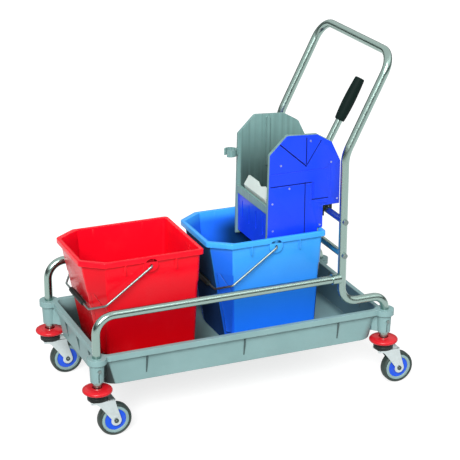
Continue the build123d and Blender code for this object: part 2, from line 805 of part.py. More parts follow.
def pinion_outline():
    """Involute spur gear round the shaft, with a tooth space straight below it."""
    steps = 4
    start_r = max(base_r, root_r)
    radii = [start_r + (tip_r - start_r) * step / steps for step in range(steps + 1)]
    angles = [half_tooth + involute(pinion_r) - involute(radius) for radius in radii]
    flank = [(root_r, angles[0])] + list(zip(radii, angles))
    points = []
    for tooth in range(pinion_teeth):
        middle = (2 * tooth + 1) * pi / pinion_teeth - pi / 2
        turned = [(radius, middle - angle) for radius, angle in flank]
        turned += [(radius, middle + angle) for radius, angle in reversed(flank)]
        points += [(shaft_x + radius * cos(turn), shaft_h + radius * sin(turn)) for radius, turn in turned]
    return points


def rack_outline():
    """Straight rack under the pinion, with a tooth straight below the shaft."""
    pitch = pi * gear_module
    slope = tan(radians(pressure_angle))
    mid_half = (pitch - gear_backlash) / 4
    tip_half = mid_half - gear_module * slope
    root_half = mid_half + root_depth * slope
    root_h = rack_h - root_depth
    tip_h = rack_h + gear_module
    first = ceil((rack_x + root_half - shaft_x) / pitch)
    last = floor((rack_x + rack_length - root_half - shaft_x) / pitch)
    points = [(rack_x, rack_foot_h), (rack_x, root_h)]
    for tooth in range(first, last + 1):
        middle = shaft_x + tooth * pitch
        points += [(middle - root_half, root_h), (middle - tip_half, tip_h)]
        points += [(middle + tip_half, tip_h), (middle + root_half, root_h)]
    return points + [(rack_x + rack_length, root_h), (rack_x + rack_length, rack_foot_h)]


full_foot = [
    (notch_x, rim_lift),
    (tail_x, rim_lift),
    (tail_foot_x, -cheek_foot_drop),
    (front_edge(-cheek_foot_drop), -cheek_foot_drop),
]
rim_foot = [(notch_x, rim_lift), (front_edge(rim_lift), rim_lift)]

# Cheeks: shallow shells, open outwards, with bosses for the cover screws and a ledge under each rack
with BuildPart() as left_cheek:
    with BuildSketch(wringer_plane.offset(cheek_inner_y)):
        add(cheek_outline(full_foot))
    extrude(amount=cheek_depth)
    with BuildSketch(wringer_plane.offset(cavity_y)):
        add(cheek_outline(rim_foot))
        offset(amount=-cheek_wall, mode=Mode.REPLACE)
    extrude(amount=cheek_depth, mode=Mode.SUBTRACT)
    with BuildSketch(cross_plane):
        with BuildLine():
            Polyline(
                (-cheek_outer_y, 0),
                (-cheek_inner_y - cheek_foot_depth, -cheek_foot_drop),
                (-cheek_outer_y, -cheek_foot_drop),
                close=True,
            )
        make_face()
    extrude(amount=cheek_rear_x, both=True, mode=Mode.SUBTRACT)
    with BuildSketch(wringer_plane.offset(cavity_y)):
        with Locations(*screw_points):
            Circle(screw_boss_d / 2)
    extrude(amount=cheek_depth - cheek_wall)
    with BuildSketch(wringer_plane.offset(cheek_inner_y)):
        with Locations((cheek_rear_x - cheek_wall, rack_foot_h - seat_gap)):
            Rectangle(rack_guide_length, rack_guide_h, align=(Align.MAX, Align.MAX))
    extrude(amount=-gear_side_gap - gear_face)
    with BuildSketch(wringer_plane.offset(cheek_inner_y)):
        with Locations((cheek_rib_x, cheek_rib_h)):
            Rectangle(cheek_rib_sheet, cheek_rib_length, align=(Align.CENTER, Align.MIN))
    extrude(amount=-cheek_rib_depth)
    with BuildSketch(wringer_plane.offset(cheek_inner_y)):
        with Locations((shaft_x, shaft_h)):
            Circle(bush_d / 2 + fit_gap)
        with Locations(*tie_rod_points):
            Circle(tie_rod_d / 2 + fit_gap)
    extrude(amount=cheek_wall, mode=Mode.SUBTRACT)
    with BuildSketch(wringer_plane.offset(cheek_outer_y)):
        with Locations(*screw_points):
            Circle(screw_d / 2 + fit_gap)
    extrude(amount=-screw_length, mode=Mode.SUBTRACT)

# Covers that close the cheeks: a raised lower panel with a pocket, and a fan of ridges above it
cover_face_y = cheek_outer_y + cover_sheet
with BuildPart() as left_cover:
    with BuildSketch(wringer_plane.offset(cheek_outer_y)):
        add(cheek_outline(rim_foot))
        offset(amount=-cover_inset, mode=Mode.REPLACE)
    extrude(amount=cover_sheet)
    with BuildSketch(wringer_plane.offset(cover_face_y)):
        add(cheek_outline(rim_foot))
        offset(amount=-cover_inset - panel_inset, mode=Mode.REPLACE)
        with Locations((0, panel_top_h)):
            Rectangle(2 * cheek_rear_x, crown_front_h, align=(Align.CENTER, Align.MIN), mode=Mode.SUBTRACT)
        with Locations((pocket_x, pocket_h)):
            Rectangle(pocket_length, panel_top_h, align=(Align.MIN, Align.MIN), mode=Mode.SUBTRACT)
        with Locations((seam_x, 0)):
            Rectangle(seam_w, crown_front_h, mode=Mode.SUBTRACT)
    extrude(amount=panel_sheet)
    with BuildSketch(wringer_plane.offset(cover_face_y)):
        with BuildLine():
            for fan_end in fan_ends:
                Line((fan_x, fan_h), fan_end)
        trace(line_width=fan_line)
    extrude(amount=fan_sheet)
    with BuildSketch(wringer_plane.offset(cover_face_y)):
        with Locations(*screw_points):
            Circle(screw_head_d / 2 + run_gap)
    extrude(amount=panel_sheet, mode=Mode.SUBTRACT)
    with BuildSketch(wringer_plane.offset(cheek_outer_y)):
        with Locations(*screw_points):
            Circle(screw_d / 2 + fit_gap)
    extrude(amount=cover_sheet, mode=Mode.SUBTRACT)

with BuildPart() as left_cover_screws:
    with BuildSketch(wringer_plane.offset(cover_face_y)):
        with Locations(*screw_points):
            Circle(screw_head_d / 2)
    extrude(amount=screw_head_h)
    with BuildSketch(wringer_plane.offset(cover_face_y)):
        with Locations(*screw_points):
            Circle(screw_d / 2)
    extrude(amount=-screw_length)

mirrored_parts = {"cheek": left_cheek.part, "cover": left_cover.part, "cover_screws": left_cover_screws.part}
for mirrored_name, left_part in mirrored_parts.items():
    for side_name, side_part in {"left": left_part, "right": mirror(left_part, about=Plane.XZ)}.items():
        side_part.label = f"{side_name}_{mirrored_name}"
        export_step(side_part, f"parts/{side_name}_{mirrored_name}.step")

# Tie rods that hold the cheeks together
with BuildPart() as tie_rods:
    with BuildSketch(wringer_plane):
        with Locations(*tie_rod_points):
            Circle(tie_rod_d / 2)
    extrude(amount=cavity_y, both=True)
    for head_y in (cavity_y, -cavity_y - tie_rod_head_h):
        with BuildSketch(wringer_plane.offset(head_y)):
            with Locations(*tie_rod_points):
                Circle(tie_rod_head_d / 2)
    extrude(amount=tie_rod_head_h)
tie_rods.part.label = "tie_rods"
export_step(tie_rods.part, "parts/tie_rods.step")

# Fixed pieces between the cheeks
with BuildPart() as front_bar:
    with BuildSketch(wringer_plane):
        with Locations((front_bar_x, front_bar_h)):
            Rectangle(front_bar_sheet, front_bar_rise, align=(Align.MIN, Align.MIN))
    extrude(amount=inner_half, both=True)
front_bar.part.label = "front_bar"
export_step(front_bar.part, "parts/front_bar.step")

with BuildPart() as drain_panel:
    with BuildSketch(wringer_plane):
        with Locations((drain_panel_x, -drain_panel_drop)):
            Rectangle(drain_panel_sheet, front_bar_h + drain_panel_drop, align=(Align.MIN, Align.MIN))
    extrude(amount=inner_half, both=True)
    with BuildSketch(cross_plane):
        with Locations((0, (front_bar_h - drain_panel_drop) / 2)):
            with GridLocations(drain_slot_pitch, 1, drain_slots, 1):
                SlotOverall(drain_slot_h, drain_slot_w, rotation=90)
    extrude(amount=floor_x, mode=Mode.SUBTRACT)
drain_panel.part.label = "drain_panel"
export_step(drain_panel.part, "parts/drain_panel.step")

drain_floor_length = tail_foot_x - floor_x
hole_rows = floor(drain_floor_length / drain_hole_pitch)
hole_columns = floor(2 * inner_half / drain_hole_pitch)
with BuildPart() as drain_floor:
    with BuildSketch(Plane((wringer_x + floor_x, 0, bucket_rim_z - drain_floor_drop))):
        Rectangle(drain_floor_length, 2 * inner_half, align=(Align.MIN, Align.CENTER))
        with Locations((drain_floor_length / 2, 0)):
            with GridLocations(drain_hole_pitch, drain_hole_pitch, hole_rows, hole_columns):
                Circle(drain_hole_d / 2, mode=Mode.SUBTRACT)
    extrude(amount=drain_floor_sheet)
drain_floor.part.label = "drain_floor"
export_step(drain_floor.part, "parts/drain_floor.step")

jaw_top_h = jaw_bend_h + jaw_lip_h
jaw_slots = floor(2 * jaw_half / jaw_slot_pitch)
with BuildPart() as squeeze_jaw:
    with BuildSketch(wringer_plane):
        with BuildLine():
            Polyline(
                (jaw_x, drain_floor_h),
                (jaw_x + jaw_sheet, drain_floor_h),
                (jaw_x + jaw_sheet, jaw_bend_h),
                (jaw_x + jaw_sheet - jaw_nose_x, jaw_bend_h + jaw_nose_h),
                (jaw_x + jaw_sheet + jaw_lip_x, jaw_top_h),
                (jaw_x + jaw_lip_x, jaw_top_h),
                (jaw_x - jaw_nose_x, jaw_bend_h + jaw_nose_h),
                (jaw_x, jaw_bend_h),
                close=True,
            )
        make_face()
    extrude(amount=jaw_half, both=True)
    with BuildSketch(cross_plane):
        with BuildLine():
            Polyline(
                (jaw_notch_y - jaw_notch_w / 2, jaw_top_h),
                (jaw_notch_y, jaw_top_h - jaw_notch_h),
                (jaw_notch_y + jaw_notch_w / 2, jaw_top_h),
                close=True,
            )
        make_face()
        with Locations((0, (drain_floor_h + jaw_bend_h) / 2)):
            with GridLocations(jaw_slot_pitch, 1, jaw_slots, 1):
                SlotOverall(jaw_bend_h - drain_floor_h - 2 * jaw_slot_margin, jaw_slot_w, rotation=90)
    extrude(amount=press_plate_x, mode=Mode.SUBTRACT)
squeeze_jaw.part.label = "squeeze_jaw"
export_step(squeeze_jaw.part, "parts/squeeze_jaw.step")

# Press plate with stiffening ribs and a lug for each rack behind it
press_half = cheek_inner_y - run_gap
press_foot_h = drain_floor_h + press_plate_lift
with BuildPart() as press_plate:
    with BuildSketch(wringer_plane):
        with Locations((press_plate_x, press_foot_h)):
            Rectangle(press_plate_sheet, press_plate_top_h - press_foot_h, align=(Align.MIN, Align.MIN))
    extrude(amount=press_half, both=True)
    for rib_step in (-1.5, -0.5, 0.5, 1.5):
        with BuildSketch(wringer_plane.offset(rib_step * press_rib_pitch)):
            with Locations((press_back_x, press_foot_h)):
                Rectangle(press_rib_depth, press_plate_top_h - press_foot_h, align=(Align.MIN, Align.MIN))
    extrude(amount=press_rib_sheet / 2, both=True)
    for lug_y in (gear_y - lug_root, -gear_y):
        with BuildSketch(wringer_plane.offset(lug_y)):
            with Locations((press_back_x, lug_mid_h)):
                Rectangle(lug_length, lug_h, align=(Align.MIN, Align.CENTER))
    extrude(amount=lug_root)
press_plate.part.label = "press_plate"
export_step(press_plate.part, "parts/press_plate.step")

# Racks on the lugs, and the pinions that drive them
for gear_name, gear_points in {"racks": rack_outline(), "pinions": pinion_outline()}.items():
    with BuildPart() as gears:
        for face_y in (gear_y, -gear_y - gear_face):
            with BuildSketch(wringer_plane.offset(face_y)):
                with BuildLine():
                    Polyline(*gear_points, close=True)
                make_face()
                with Locations((shaft_x, shaft_h)):
                    Circle(shaft_d / 2 + fit_gap, mode=Mode.SUBTRACT)
        extrude(amount=gear_face)
    gears.part.label = gear_name
    export_step(gears.part, f"parts/{gear_name}.step")

with BuildPart() as drive_shaft:
    with BuildSketch(wringer_plane):
        with Locations((shaft_x, shaft_h)):
            Circle(shaft_d / 2)
    extrude(amount=cheek_outer_y - shaft_end_gap, both=True)
drive_shaft.part.label = "drive_shaft"
export_step(drive_shaft.part, "parts/drive_shaft.step")

with BuildPart() as shaft_bushes:
    for bush_y in (cheek_inner_y, -cavity_y):
        with BuildSketch(wringer_plane.offset(bush_y)):
            with Locations((shaft_x, shaft_h)):
                Circle(bush_d / 2)
    extrude(amount=cheek_wall)
    for flange_y in (cavity_y, -cavity_y - bush_flange_h):
        with BuildSketch(wringer_plane.offset(flange_y)):
            with Locations((shaft_x, shaft_h)):
                Circle(bush_flange_d / 2)
    extrude(amount=bush_flange_h)
    with BuildSketch(wringer_plane):
        with Locations((shaft_x, shaft_h)):
            Circle(shaft_d / 2 + fit_gap)
    extrude(amount=cheek_outer_y, both=True, mode=Mode.SUBTRACT)
shaft_bushes.part.label = "shaft_bushes"
export_step(shaft_bushes.part, "parts/shaft_bushes.step")

# Return spring, wound flat round the shaft between the right pinion and the right cheek
spring_y = gear_y + gear_face + run_gap
with BuildPart() as return_spring:
    with BuildSketch(wringer_plane.offset(seat_gap - cheek_inner_y)):
        with Locations((shaft_x, shaft_h)):
            Circle(spring_d / 2)
            Circle(shaft_d / 2 + seat_gap, mode=Mode.SUBTRACT)
    extrude(amount=cheek_inner_y - seat_gap - spring_y)
return_spring.part.label = "return_spring"
export_step(return_spring.part, "parts/return_spring.step")

# Lever beside the left pinion: a hub on the shaft, a leaning tube and its grip
lever_y = gear_y - run_gap - lever_hub_length / 2
lever_turn = radians(lever_lean)
lever_dir = (sin(lever_turn), 0, cos(lever_turn))
lever_pivot = (wringer_x + shaft_x, -lever_y, bucket_rim_z + shaft_h)
lever_plane = Plane(lever_pivot, x_dir=(0, 1, 0), z_dir=lever_dir)
tube_top = lever_length - lever_grip_cap - run_gap
with BuildPart() as lever:
    with BuildSketch(lever_plane):
        Circle(lever_d / 2)
    extrude(amount=tube_top)
    with BuildSketch(wringer_plane.offset(gear_y - run_gap)):
        with Locations((shaft_x, shaft_h)):
            Circle(lever_hub_d / 2)
    extrude(amount=-lever_hub_length)
    with BuildSketch(lever_plane.offset(lever_hub_d / 2)):
        Circle(lever_d / 2 - lever_wall)
    extrude(amount=lever_length, mode=Mode.SUBTRACT)
    with BuildSketch(wringer_plane):
        with Locations((shaft_x, shaft_h)):
            Circle(shaft_d / 2 + fit_gap)
    extrude(amount=cheek_outer_y, mode=Mode.SUBTRACT)
lever.part.label = "lever"
export_step(lever.part, "parts/lever.step")

grip_start = lever_length - lever_grip_length
cap_start = lever_length - lever_grip_cap
with BuildPart() as lever_grip:
    with BuildSketch(Plane(lever_pivot, x_dir=lever_dir, z_dir=(0, -1, 0))):
        with BuildLine():
            ThreePointArc(
                (grip_start, lever_grip_end_d / 2),
                ((grip_start + lever_length) / 2, lever_grip_d / 2),
                (lever_length, lever_grip_end_d / 2),
            )
            Polyline(
                (lever_length, lever_grip_end_d / 2),
                (lever_length, 0),
                (cap_start, 0),
                (cap_start, lever_d / 2 + fit_gap),
                (grip_start, lever_d / 2 + fit_gap),
                (grip_start, lever_grip_end_d / 2),
            )
        make_face()
    revolve(axis=Axis(lever_pivot, lever_dir))
lever_grip.part.label = "lever_grip"
export_step(lever_grip.part, "parts/lever_grip.step")

# Saddles under the cheeks' notches, astride the upper cross bar
with BuildPart() as bar_saddles:
    for saddle_y in (cheek_inner_y, -cheek_outer_y):
        with BuildSketch(wringer_plane.offset(saddle_y)):
            with Locations((hang_reach, notch_h)):
                Rectangle(
                    crossbar_d + 2 * seat_gap + 2 * saddle_sheet,
                    notch_h - crossbar_rise + saddle_leg,
                    align=(Align.CENTER, Align.MAX),
                )
            with Locations((hang_reach, notch_h - saddle_sheet)):
                Rectangle(
                    crossbar_d + 2 * seat_gap,
                    notch_h,
                    align=(Align.CENTER, Align.MAX),
                    mode=Mode.SUBTRACT,
                )
    extrude(amount=cheek_depth)
bar_saddles.part.label = "bar_saddles"
export_step(bar_saddles.part, "parts/bar_saddles.step")

# Spring clip for a mop handle on the right cheek's front edge
clip_y = cheek_outer_y - clip_inset
clip_foot_h = clip_h - clip_sheet / 2
with BuildPart() as handle_clip:
    with BuildSketch(Plane((wringer_x + front_edge(clip_foot_h), clip_y, bucket_rim_z + clip_foot_h))):
        with Locations((-clip_reach, 0)):
            Circle(clip_bore_d / 2 + clip_wall)
        Rectangle(clip_reach, clip_neck, align=(Align.MAX, Align.CENTER))
        with Locations((-clip_reach, 0)):
            Circle(clip_bore_d / 2, mode=Mode.SUBTRACT)
            Rectangle(clip_bore_d, clip_mouth, align=(Align.MAX, Align.CENTER), mode=Mode.SUBTRACT)
    extrude(amount=clip_sheet)
handle_clip.part.label = "handle_clip"
export_step(handle_clip.part, "parts/handle_clip.step")
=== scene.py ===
"""Double-bucket mop trolley with a press wringer: shells, finishes, light and camera."""

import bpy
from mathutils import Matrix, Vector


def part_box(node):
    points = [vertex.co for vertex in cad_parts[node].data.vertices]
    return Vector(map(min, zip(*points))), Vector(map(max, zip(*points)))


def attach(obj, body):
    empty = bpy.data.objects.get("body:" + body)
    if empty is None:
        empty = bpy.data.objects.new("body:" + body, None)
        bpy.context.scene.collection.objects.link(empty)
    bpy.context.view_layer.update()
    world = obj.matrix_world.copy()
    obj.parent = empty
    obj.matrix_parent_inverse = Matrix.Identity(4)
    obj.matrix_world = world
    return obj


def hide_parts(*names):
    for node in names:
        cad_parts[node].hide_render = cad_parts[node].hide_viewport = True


bl_info = {
    "name": "Mop Trolley",
    "version": (1, 0, 0),
    "blender": (4, 5, 0),
    "location": "View3D > Sidebar > Mop Trolley",
    "description": "Models the shells of a double-bucket mop trolley and gives every piece its finish",
    "category": "Add Mesh",
}

from math import cos, pi, radians, sin, tan

import bmesh
import bpy
from bpy.props import FloatProperty, FloatVectorProperty, IntProperty, PointerProperty
from bpy.types import Operator, Panel, PropertyGroup
from mathutils import Matrix, Vector

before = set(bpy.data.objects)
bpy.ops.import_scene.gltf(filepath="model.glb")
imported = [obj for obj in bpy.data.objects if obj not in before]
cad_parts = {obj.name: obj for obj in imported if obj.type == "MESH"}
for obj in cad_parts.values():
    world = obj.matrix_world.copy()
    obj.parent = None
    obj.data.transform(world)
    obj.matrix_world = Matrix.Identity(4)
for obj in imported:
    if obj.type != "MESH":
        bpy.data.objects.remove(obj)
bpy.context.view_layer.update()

WHEELS = ("front_left", "front_right", "rear_left", "rear_right")
BUCKETS = ("red", "blue")
EVEN_LINES = (160.0, 160.0, 160.0)
WHITE = (1.0, 1.0, 1.0, 1.0)
# Measures of the solids that no box gives, in metres and radians
RIM_HALF = 0.1209
PIVOT_BACK = 0.163
PIVOT_DROP = 0.0205
TRAY_MIDDLE = -0.022
TRAY_LEAN = 0.0933
TRAIL = 0.039
LEVER_LEAN = radians(28.3)


def shade(name, description, colour):
    """A colour setting, given in linear values."""
    limits = {"subtype": "COLOR", "size": 3, "min": 0.0, "max": 1.0}
    return FloatVectorProperty(name=name, description=description, default=colour, **limits)


def length(name, description, metres):
    """A length setting in metres."""
    kind = {"unit": "LENGTH", "min": 0.0, "precision": 5}
    return FloatProperty(name=name, description=description, default=metres, **kind)


def level(name, description, value):
    """A strength setting."""
    return FloatProperty(name=name, description=description, min=0.0, default=value)


class TrolleyColours(PropertyGroup):
    """Colours of the trolley's finishes."""

    red_bucket: shade("Red bucket", "Front bucket", (0.97, 0.0030, 0.0170))
    blue_bucket: shade("Blue bucket", "Rear bucket", (0.050, 0.39, 1.0))
    cover: shade("Covers", "Royal blue plates on the wringer's cheeks", (0.008, 0.058, 0.86))
    cheek: shade("Cheeks", "Grey shells of the wringer", (0.20, 0.36, 0.345))
    tray: shade("Tray", "Grey-green moulded tray", (0.235, 0.385, 0.385))
    jaw: shade("Jaw", "White squeeze jaw", (0.62, 0.72, 0.68))
    disc: shade("Bumper discs", "Red discs over the casters", (0.62, 0.008, 0.017))
    black: shade("Black plastic", "Grips and swivel housings", (0.008, 0.011, 0.010))
    tyre: shade("Tyres", "Dark rubber", (0.016, 0.032, 0.027))
    ring: shade("Wheel rings", "Pale rings inside the tyres", (0.25, 0.38, 0.38))
    hub: shade("Hubs", "Blue wheel centres", (0.013, 0.095, 0.72))
    tube: shade("Frame tube", "Polished stainless tube", (0.32, 0.44, 0.40))
    zinc: shade("Zinc plate", "Forks, screws and bail wire", (0.64, 0.72, 0.72))
    wire: shade("Bail wire", "Plated wire of the bails", (0.24, 0.30, 0.29))
    grip: shade("Lever grip", "Soft rubber on the lever", (0.0035, 0.012, 0.010))
    gear: shade("Gear steel", "Racks, pinions and shaft", (0.42, 0.43, 0.44))
    brass: shade("Brass", "Shaft bushes", (0.72, 0.50, 0.20))


class TrolleySizes(PropertyGroup):
    """Sizes of the forms that the solids leave plain."""

    wall: length("Bucket wall", "Sheet of the bucket walls", 0.003)
    rim_overhang: length("Rim overhang", "How far the bucket rim stands out", 0.007)
    skirt: length("Rim skirt", "Height of the rim's hanging skirt", 0.0125)
    skirt_sheet: length("Skirt sheet", "Thickness of the skirt", 0.0025)
    front_draft: length("Front draft", "How far the front wall leans in at its foot", 0.050)
    side_draft: length("Side draft", "How far each side wall leans in at its foot", 0.012)
    rear_draft: length("Rear draft", "How far the rear wall leans in at its foot", 0.010)
    chamfer_x: length("Front corner, lengthwise", "Cut of the two front corners along the bucket", 0.051)
    foot_chamfer_x: length("Front corner, foot", "The lengthwise cut at the bucket's foot", 0.006)
    chamfer_y: length("Front corner, crosswise", "Cut of the two front corners across the bucket", 0.0376)
    corner: length("Bucket corner", "Radius of the upright corners", 0.009)
    belt: length("Wall step", "Depth of the step round the bucket wall", 0.0011)
    belt_height: length("Step height", "Height of the step over the bucket's foot", 0.190)
    foot_roll: length("Foot roll", "Radius along the bucket's foot", 0.006)
    cover_edge: length("Cover edge", "Rounding round the wringer's covers", 0.0006)
    groove: length("Groove width", "Width of the grooves in the covers", 0.0028)
    groove_depth: length("Groove depth", "Depth of the grooves in the covers", 0.0022)
    turned_steps: IntProperty(
        name="Turned steps", description="Facets round a turned piece", min=24, default=72
    )


class TrolleyStage(PropertyGroup):
    """Camera and light."""

    eye: FloatVectorProperty(
        name="Camera place", description="Where the camera stands", subtype="TRANSLATION", unit="LENGTH",
        default=(-1.45592, -3.45346, 1.80102),
    )
    look: FloatVectorProperty(
        name="View direction", description="Where the camera looks", subtype="DIRECTION",
        default=(0.36663, 0.86088, -0.35280),
    )
    roll: FloatProperty(
        name="Roll", description="Turn of the picture", subtype="ANGLE", default=radians(0.2144)
    )
    lens: level("Lens", "Focal length in millimetres on a 36 mm sensor", 130.893)
    sky: level("Sky", "Strength of the even light from all round", 0.38)
    key: level("Key light", "Strength of the main lamp", 3.6)
    fill: level("Fill light", "Strength of the lamp on the other side", 0.25)
    glint: level("Glint", "Strength of the small lamp that lights the rails' tops", 0.15)
    lift: level("Floor lift", "Glow that takes the floor to white", 0.73)


def colours():
    return bpy.context.scene.trolley_colours


def sizes():
    return bpy.context.scene.trolley_sizes


def pick(*pieces):
    """Only these pieces are selected, and the first one is active."""
    if bpy.context.object and bpy.context.object.mode != "OBJECT":
        bpy.ops.object.mode_set(mode="OBJECT")
    bpy.ops.object.select_all(action="DESELECT")
    for piece in pieces:
        piece.select_set(True)
    if pieces:
        bpy.context.view_layer.objects.active = pieces[0]


def named(name):
    """Names the piece that was just added."""
    piece = bpy.context.object
    piece.name = name
    piece.data.name = name
    return piece


def edit_all():
    """Enters edit mode with everything selected."""
    bpy.ops.object.mode_set(mode="EDIT")
    bpy.ops.mesh.select_all(action="SELECT")


def close_up(piece):
    """Merges doubled points and turns every face outwards."""
    pick(piece)
    edit_all()
    bpy.ops.mesh.remove_doubles(threshold=0.000002)
    bpy.ops.mesh.normals_make_consistent(inside=False)
    bpy.ops.object.mode_set(mode="OBJECT")
    return piece


def smooth(piece, angle=32.0):
    """Smooth shading, broken at edges over the angle in degrees."""
    pick(piece)
    bpy.ops.object.shade_smooth_by_angle(angle=radians(angle))
    return piece


def stack(name, rings):
    """A shell whose first face is extruded from ring to ring; the last ring closes it."""
    pick()
    bpy.ops.mesh.primitive_circle_add(vertices=len(rings[0]), radius=1.0, fill_type="NGON")
    piece = named(name)
    for vertex, point in zip(piece.data.vertices, rings[0]):
        vertex.co = point
    edit_all()
    for last, ring in zip(rings, rings[1:]):
        bpy.ops.mesh.extrude_region_move()
        cage = bmesh.from_edit_mesh(piece.data)
        for vertex in [v for v in cage.verts if v.select]:
            place = min(range(len(last)), key=lambda i: (vertex.co - last[i]).length_squared)
            vertex.co = ring[place]
        bmesh.update_edit_mesh(piece.data)
    bpy.ops.object.mode_set(mode="OBJECT")
    return close_up(piece)


def turned(name, profile, centre, axis, steps):
    """A closed outline of (along the axis, radius) pairs, spun round the axis through centre."""
    along = Vector(axis)
    out = Vector((1, 0, 0)) if abs(along.y) > 0.5 else Vector((0, 1, 0))
    pick()
    bpy.ops.mesh.primitive_circle_add(vertices=len(profile), radius=1.0, fill_type="NOTHING")
    piece = named(name)
    for vertex, (step, radius) in zip(piece.data.vertices, profile):
        vertex.co = Vector(centre) + along * step + out * radius
    edit_all()
    bpy.ops.mesh.spin(steps=steps, angle=2 * pi, center=centre, axis=axis)
    bpy.ops.object.mode_set(mode="OBJECT")
    return close_up(piece)


def block(name, low, high, bevel):
    """A box between two corners with rounded edges."""
    pick()
    centre = [(a + b) / 2 for a, b in zip(low, high)]
    bpy.ops.mesh.primitive_cube_add(size=1.0, location=centre)
    piece = named(name)
    piece.scale = [b - a for a, b in zip(low, high)]
    bpy.ops.object.transform_apply(location=True, rotation=True, scale=True)
    edit_all()
    bpy.ops.mesh.bevel(offset=bevel, segments=3, affect="EDGES")
    bpy.ops.object.mode_set(mode="OBJECT")
    return piece


def joined(name, pieces):
    """One mesh from several."""
    pick(*pieces)
    if len(pieces) > 1:
        bpy.ops.object.join()
    return named(name)


def carved(piece, cutters):
    """The piece with the cutters' forms taken out of it."""
    tool = joined("cutter", cutters)
    pick(piece)
    cut = piece.modifiers.new("cut", "BOOLEAN")
    cut.operation = "DIFFERENCE"
    cut.solver = "EXACT"
    cut.use_self = True
    cut.object = tool
    bpy.ops.object.modifier_apply(modifier=cut.name)
    pick(tool)
    bpy.ops.object.delete()
    return piece


def painted(mesh, name):
    """The mesh has this finish and no other."""
    mesh.materials.clear()
    mesh.materials.append(bpy.data.materials[name])


def fitted(piece, body, name, nodes):
    """The piece rides on its body, takes the named finish and stands for its nodes."""
    painted(piece.data, name)
    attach(piece, body)
    if nodes:
        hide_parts(*nodes)


def dressed(name, *nodes):
    """Nodes that keep their shape and get the named finish."""
    for node in nodes:
        painted(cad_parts[node].data, name)


def hung(data, location, turn):
    """A lamp or a camera at its place in the scene, with its turn as a quaternion."""
    piece = bpy.data.objects.new(data.name, data)
    piece.location = location
    piece.rotation_mode = "QUATERNION"
    piece.rotation_quaternion = turn
    bpy.context.scene.collection.objects.link(piece)
    return piece


def feed(tree, node, inputs):
    """Gives the node's inputs, by name or number, a link or a plain value each."""
    for key, value in inputs.items():
        if hasattr(value, "is_output"):
            tree.links.new(value, node.inputs[key])
        elif value is not None:
            node.inputs[key].default_value = value


def made(tree, kind, inputs, **settings):
    """A new node's outputs, with its settings made and its inputs fed."""
    node = tree.nodes.new(kind)
    for key, value in settings.items():
        setattr(node, key, value)
    feed(tree, node, inputs)
    return node.outputs


def place_on(tree):
    """The place on the piece, in metres in the shared frame."""
    return made(tree, "ShaderNodeTexCoord", {})["Object"]


def noise(tree, place, scale, detail, roughness):
    inputs = {"Vector": place, "Scale": scale, "Detail": detail, "Roughness": roughness}
    return made(tree, "ShaderNodeTexNoise", inputs)["Fac"]


def spread(tree, value, low, high, to_low=0.0, to_high=1.0, **settings):
    """A clamped map of one range on another."""
    inputs = {"Value": value, "From Min": low, "From Max": high, "To Min": to_low, "To Max": to_high}
    return made(tree, "ShaderNodeMapRange", inputs, **settings)["Result"]


def sums(tree, operation, *values):
    return made(tree, "ShaderNodeMath", dict(enumerate(values)), operation=operation)["Value"]


def scaled(tree, value, factor, offset=0.0):
    return sums(tree, "MULTIPLY_ADD", value, factor, offset)


def mixed(tree, mask, first, second):
    """A colour that goes from first to second where the mask is on. Each is a colour or a socket."""
    ends = [end if hasattr(end, "is_output") else (*end, 1.0) for end in (first, second)]
    return made(tree, "ShaderNodeMix", {0: mask, 6: ends[0], 7: ends[1]}, data_type="RGBA")[2]


def bump(tree, height, normal, strength, distance):
    inputs = {"Height": height, "Normal": normal, "Strength": strength, "Distance": distance}
    return made(tree, "ShaderNodeBump", inputs)["Normal"]


def camera_rays(tree):
    """1 for the rays that see or mirror the background, 0 for the rays that light the part."""
    rays = made(tree, "ShaderNodeLightPath", {})
    mirrored = sums(tree, "MAXIMUM", rays["Is Glossy Ray"], rays["Is Transmission Ray"])
    return sums(tree, "MAXIMUM", rays["Is Camera Ray"], mirrored)


def new_group(name, inputs, outputs):
    """An empty shader group: its tree, what is put in, the place on the piece and its end node."""
    tree = bpy.data.node_groups.new(name, "ShaderNodeTree")
    for label, value in inputs.items():
        kind = "NodeSocketVector" if isinstance(value, tuple) else "NodeSocketFloat"
        tree.interface.new_socket(name=label, in_out="INPUT", socket_type=kind).default_value = value
    for label in outputs:
        kind = "NodeSocketVector" if label == "Normal" else "NodeSocketFloat"
        tree.interface.new_socket(name=label, in_out="OUTPUT", socket_type=kind)
    given = made(tree, "NodeGroupInput", {})
    return tree, given, place_on(tree), tree.nodes.new("NodeGroupOutput")


def make_moulded_skin():
    """Fine grain and broad mottle of moulded plastic."""
    inputs = {"Grain Size": 900.0, "Mottle Size": 14.0}
    tree, given, place, end = new_group("Moulded Skin", inputs, ("Grain", "Mottle"))
    grain = noise(tree, place, given["Grain Size"], 3.0, 0.6)
    mottle = noise(tree, place, given["Mottle Size"], 4.0, 0.55)
    feed(tree, end, {"Grain": grain, "Mottle": spread(tree, mottle, 0.3, 0.7)})


def make_rubbed_edges():
    """Softened edge normals, and a broken mask along the edges that hands and walls rub."""
    inputs = {"Radius": 0.001, "Patch Size": 45.0}
    tree, given, place, end = new_group("Rubbed Edges", inputs, ("Mask", "Normal"))
    eased = made(tree, "ShaderNodeBevel", {"Radius": given["Radius"]}, samples=6)["Normal"]
    plain = made(tree, "ShaderNodeNewGeometry", {})["Normal"]
    turn = made(tree, "ShaderNodeVectorMath", {0: eased, 1: plain}, operation="DOT_PRODUCT")["Value"]
    edge = spread(tree, turn, 0.995, 0.90)
    broken = spread(tree, noise(tree, place, given["Patch Size"], 4.0, 0.6), 0.38, 0.66)
    feed(tree, end, {"Mask": sums(tree, "MULTIPLY", edge, broken), "Normal": eased})


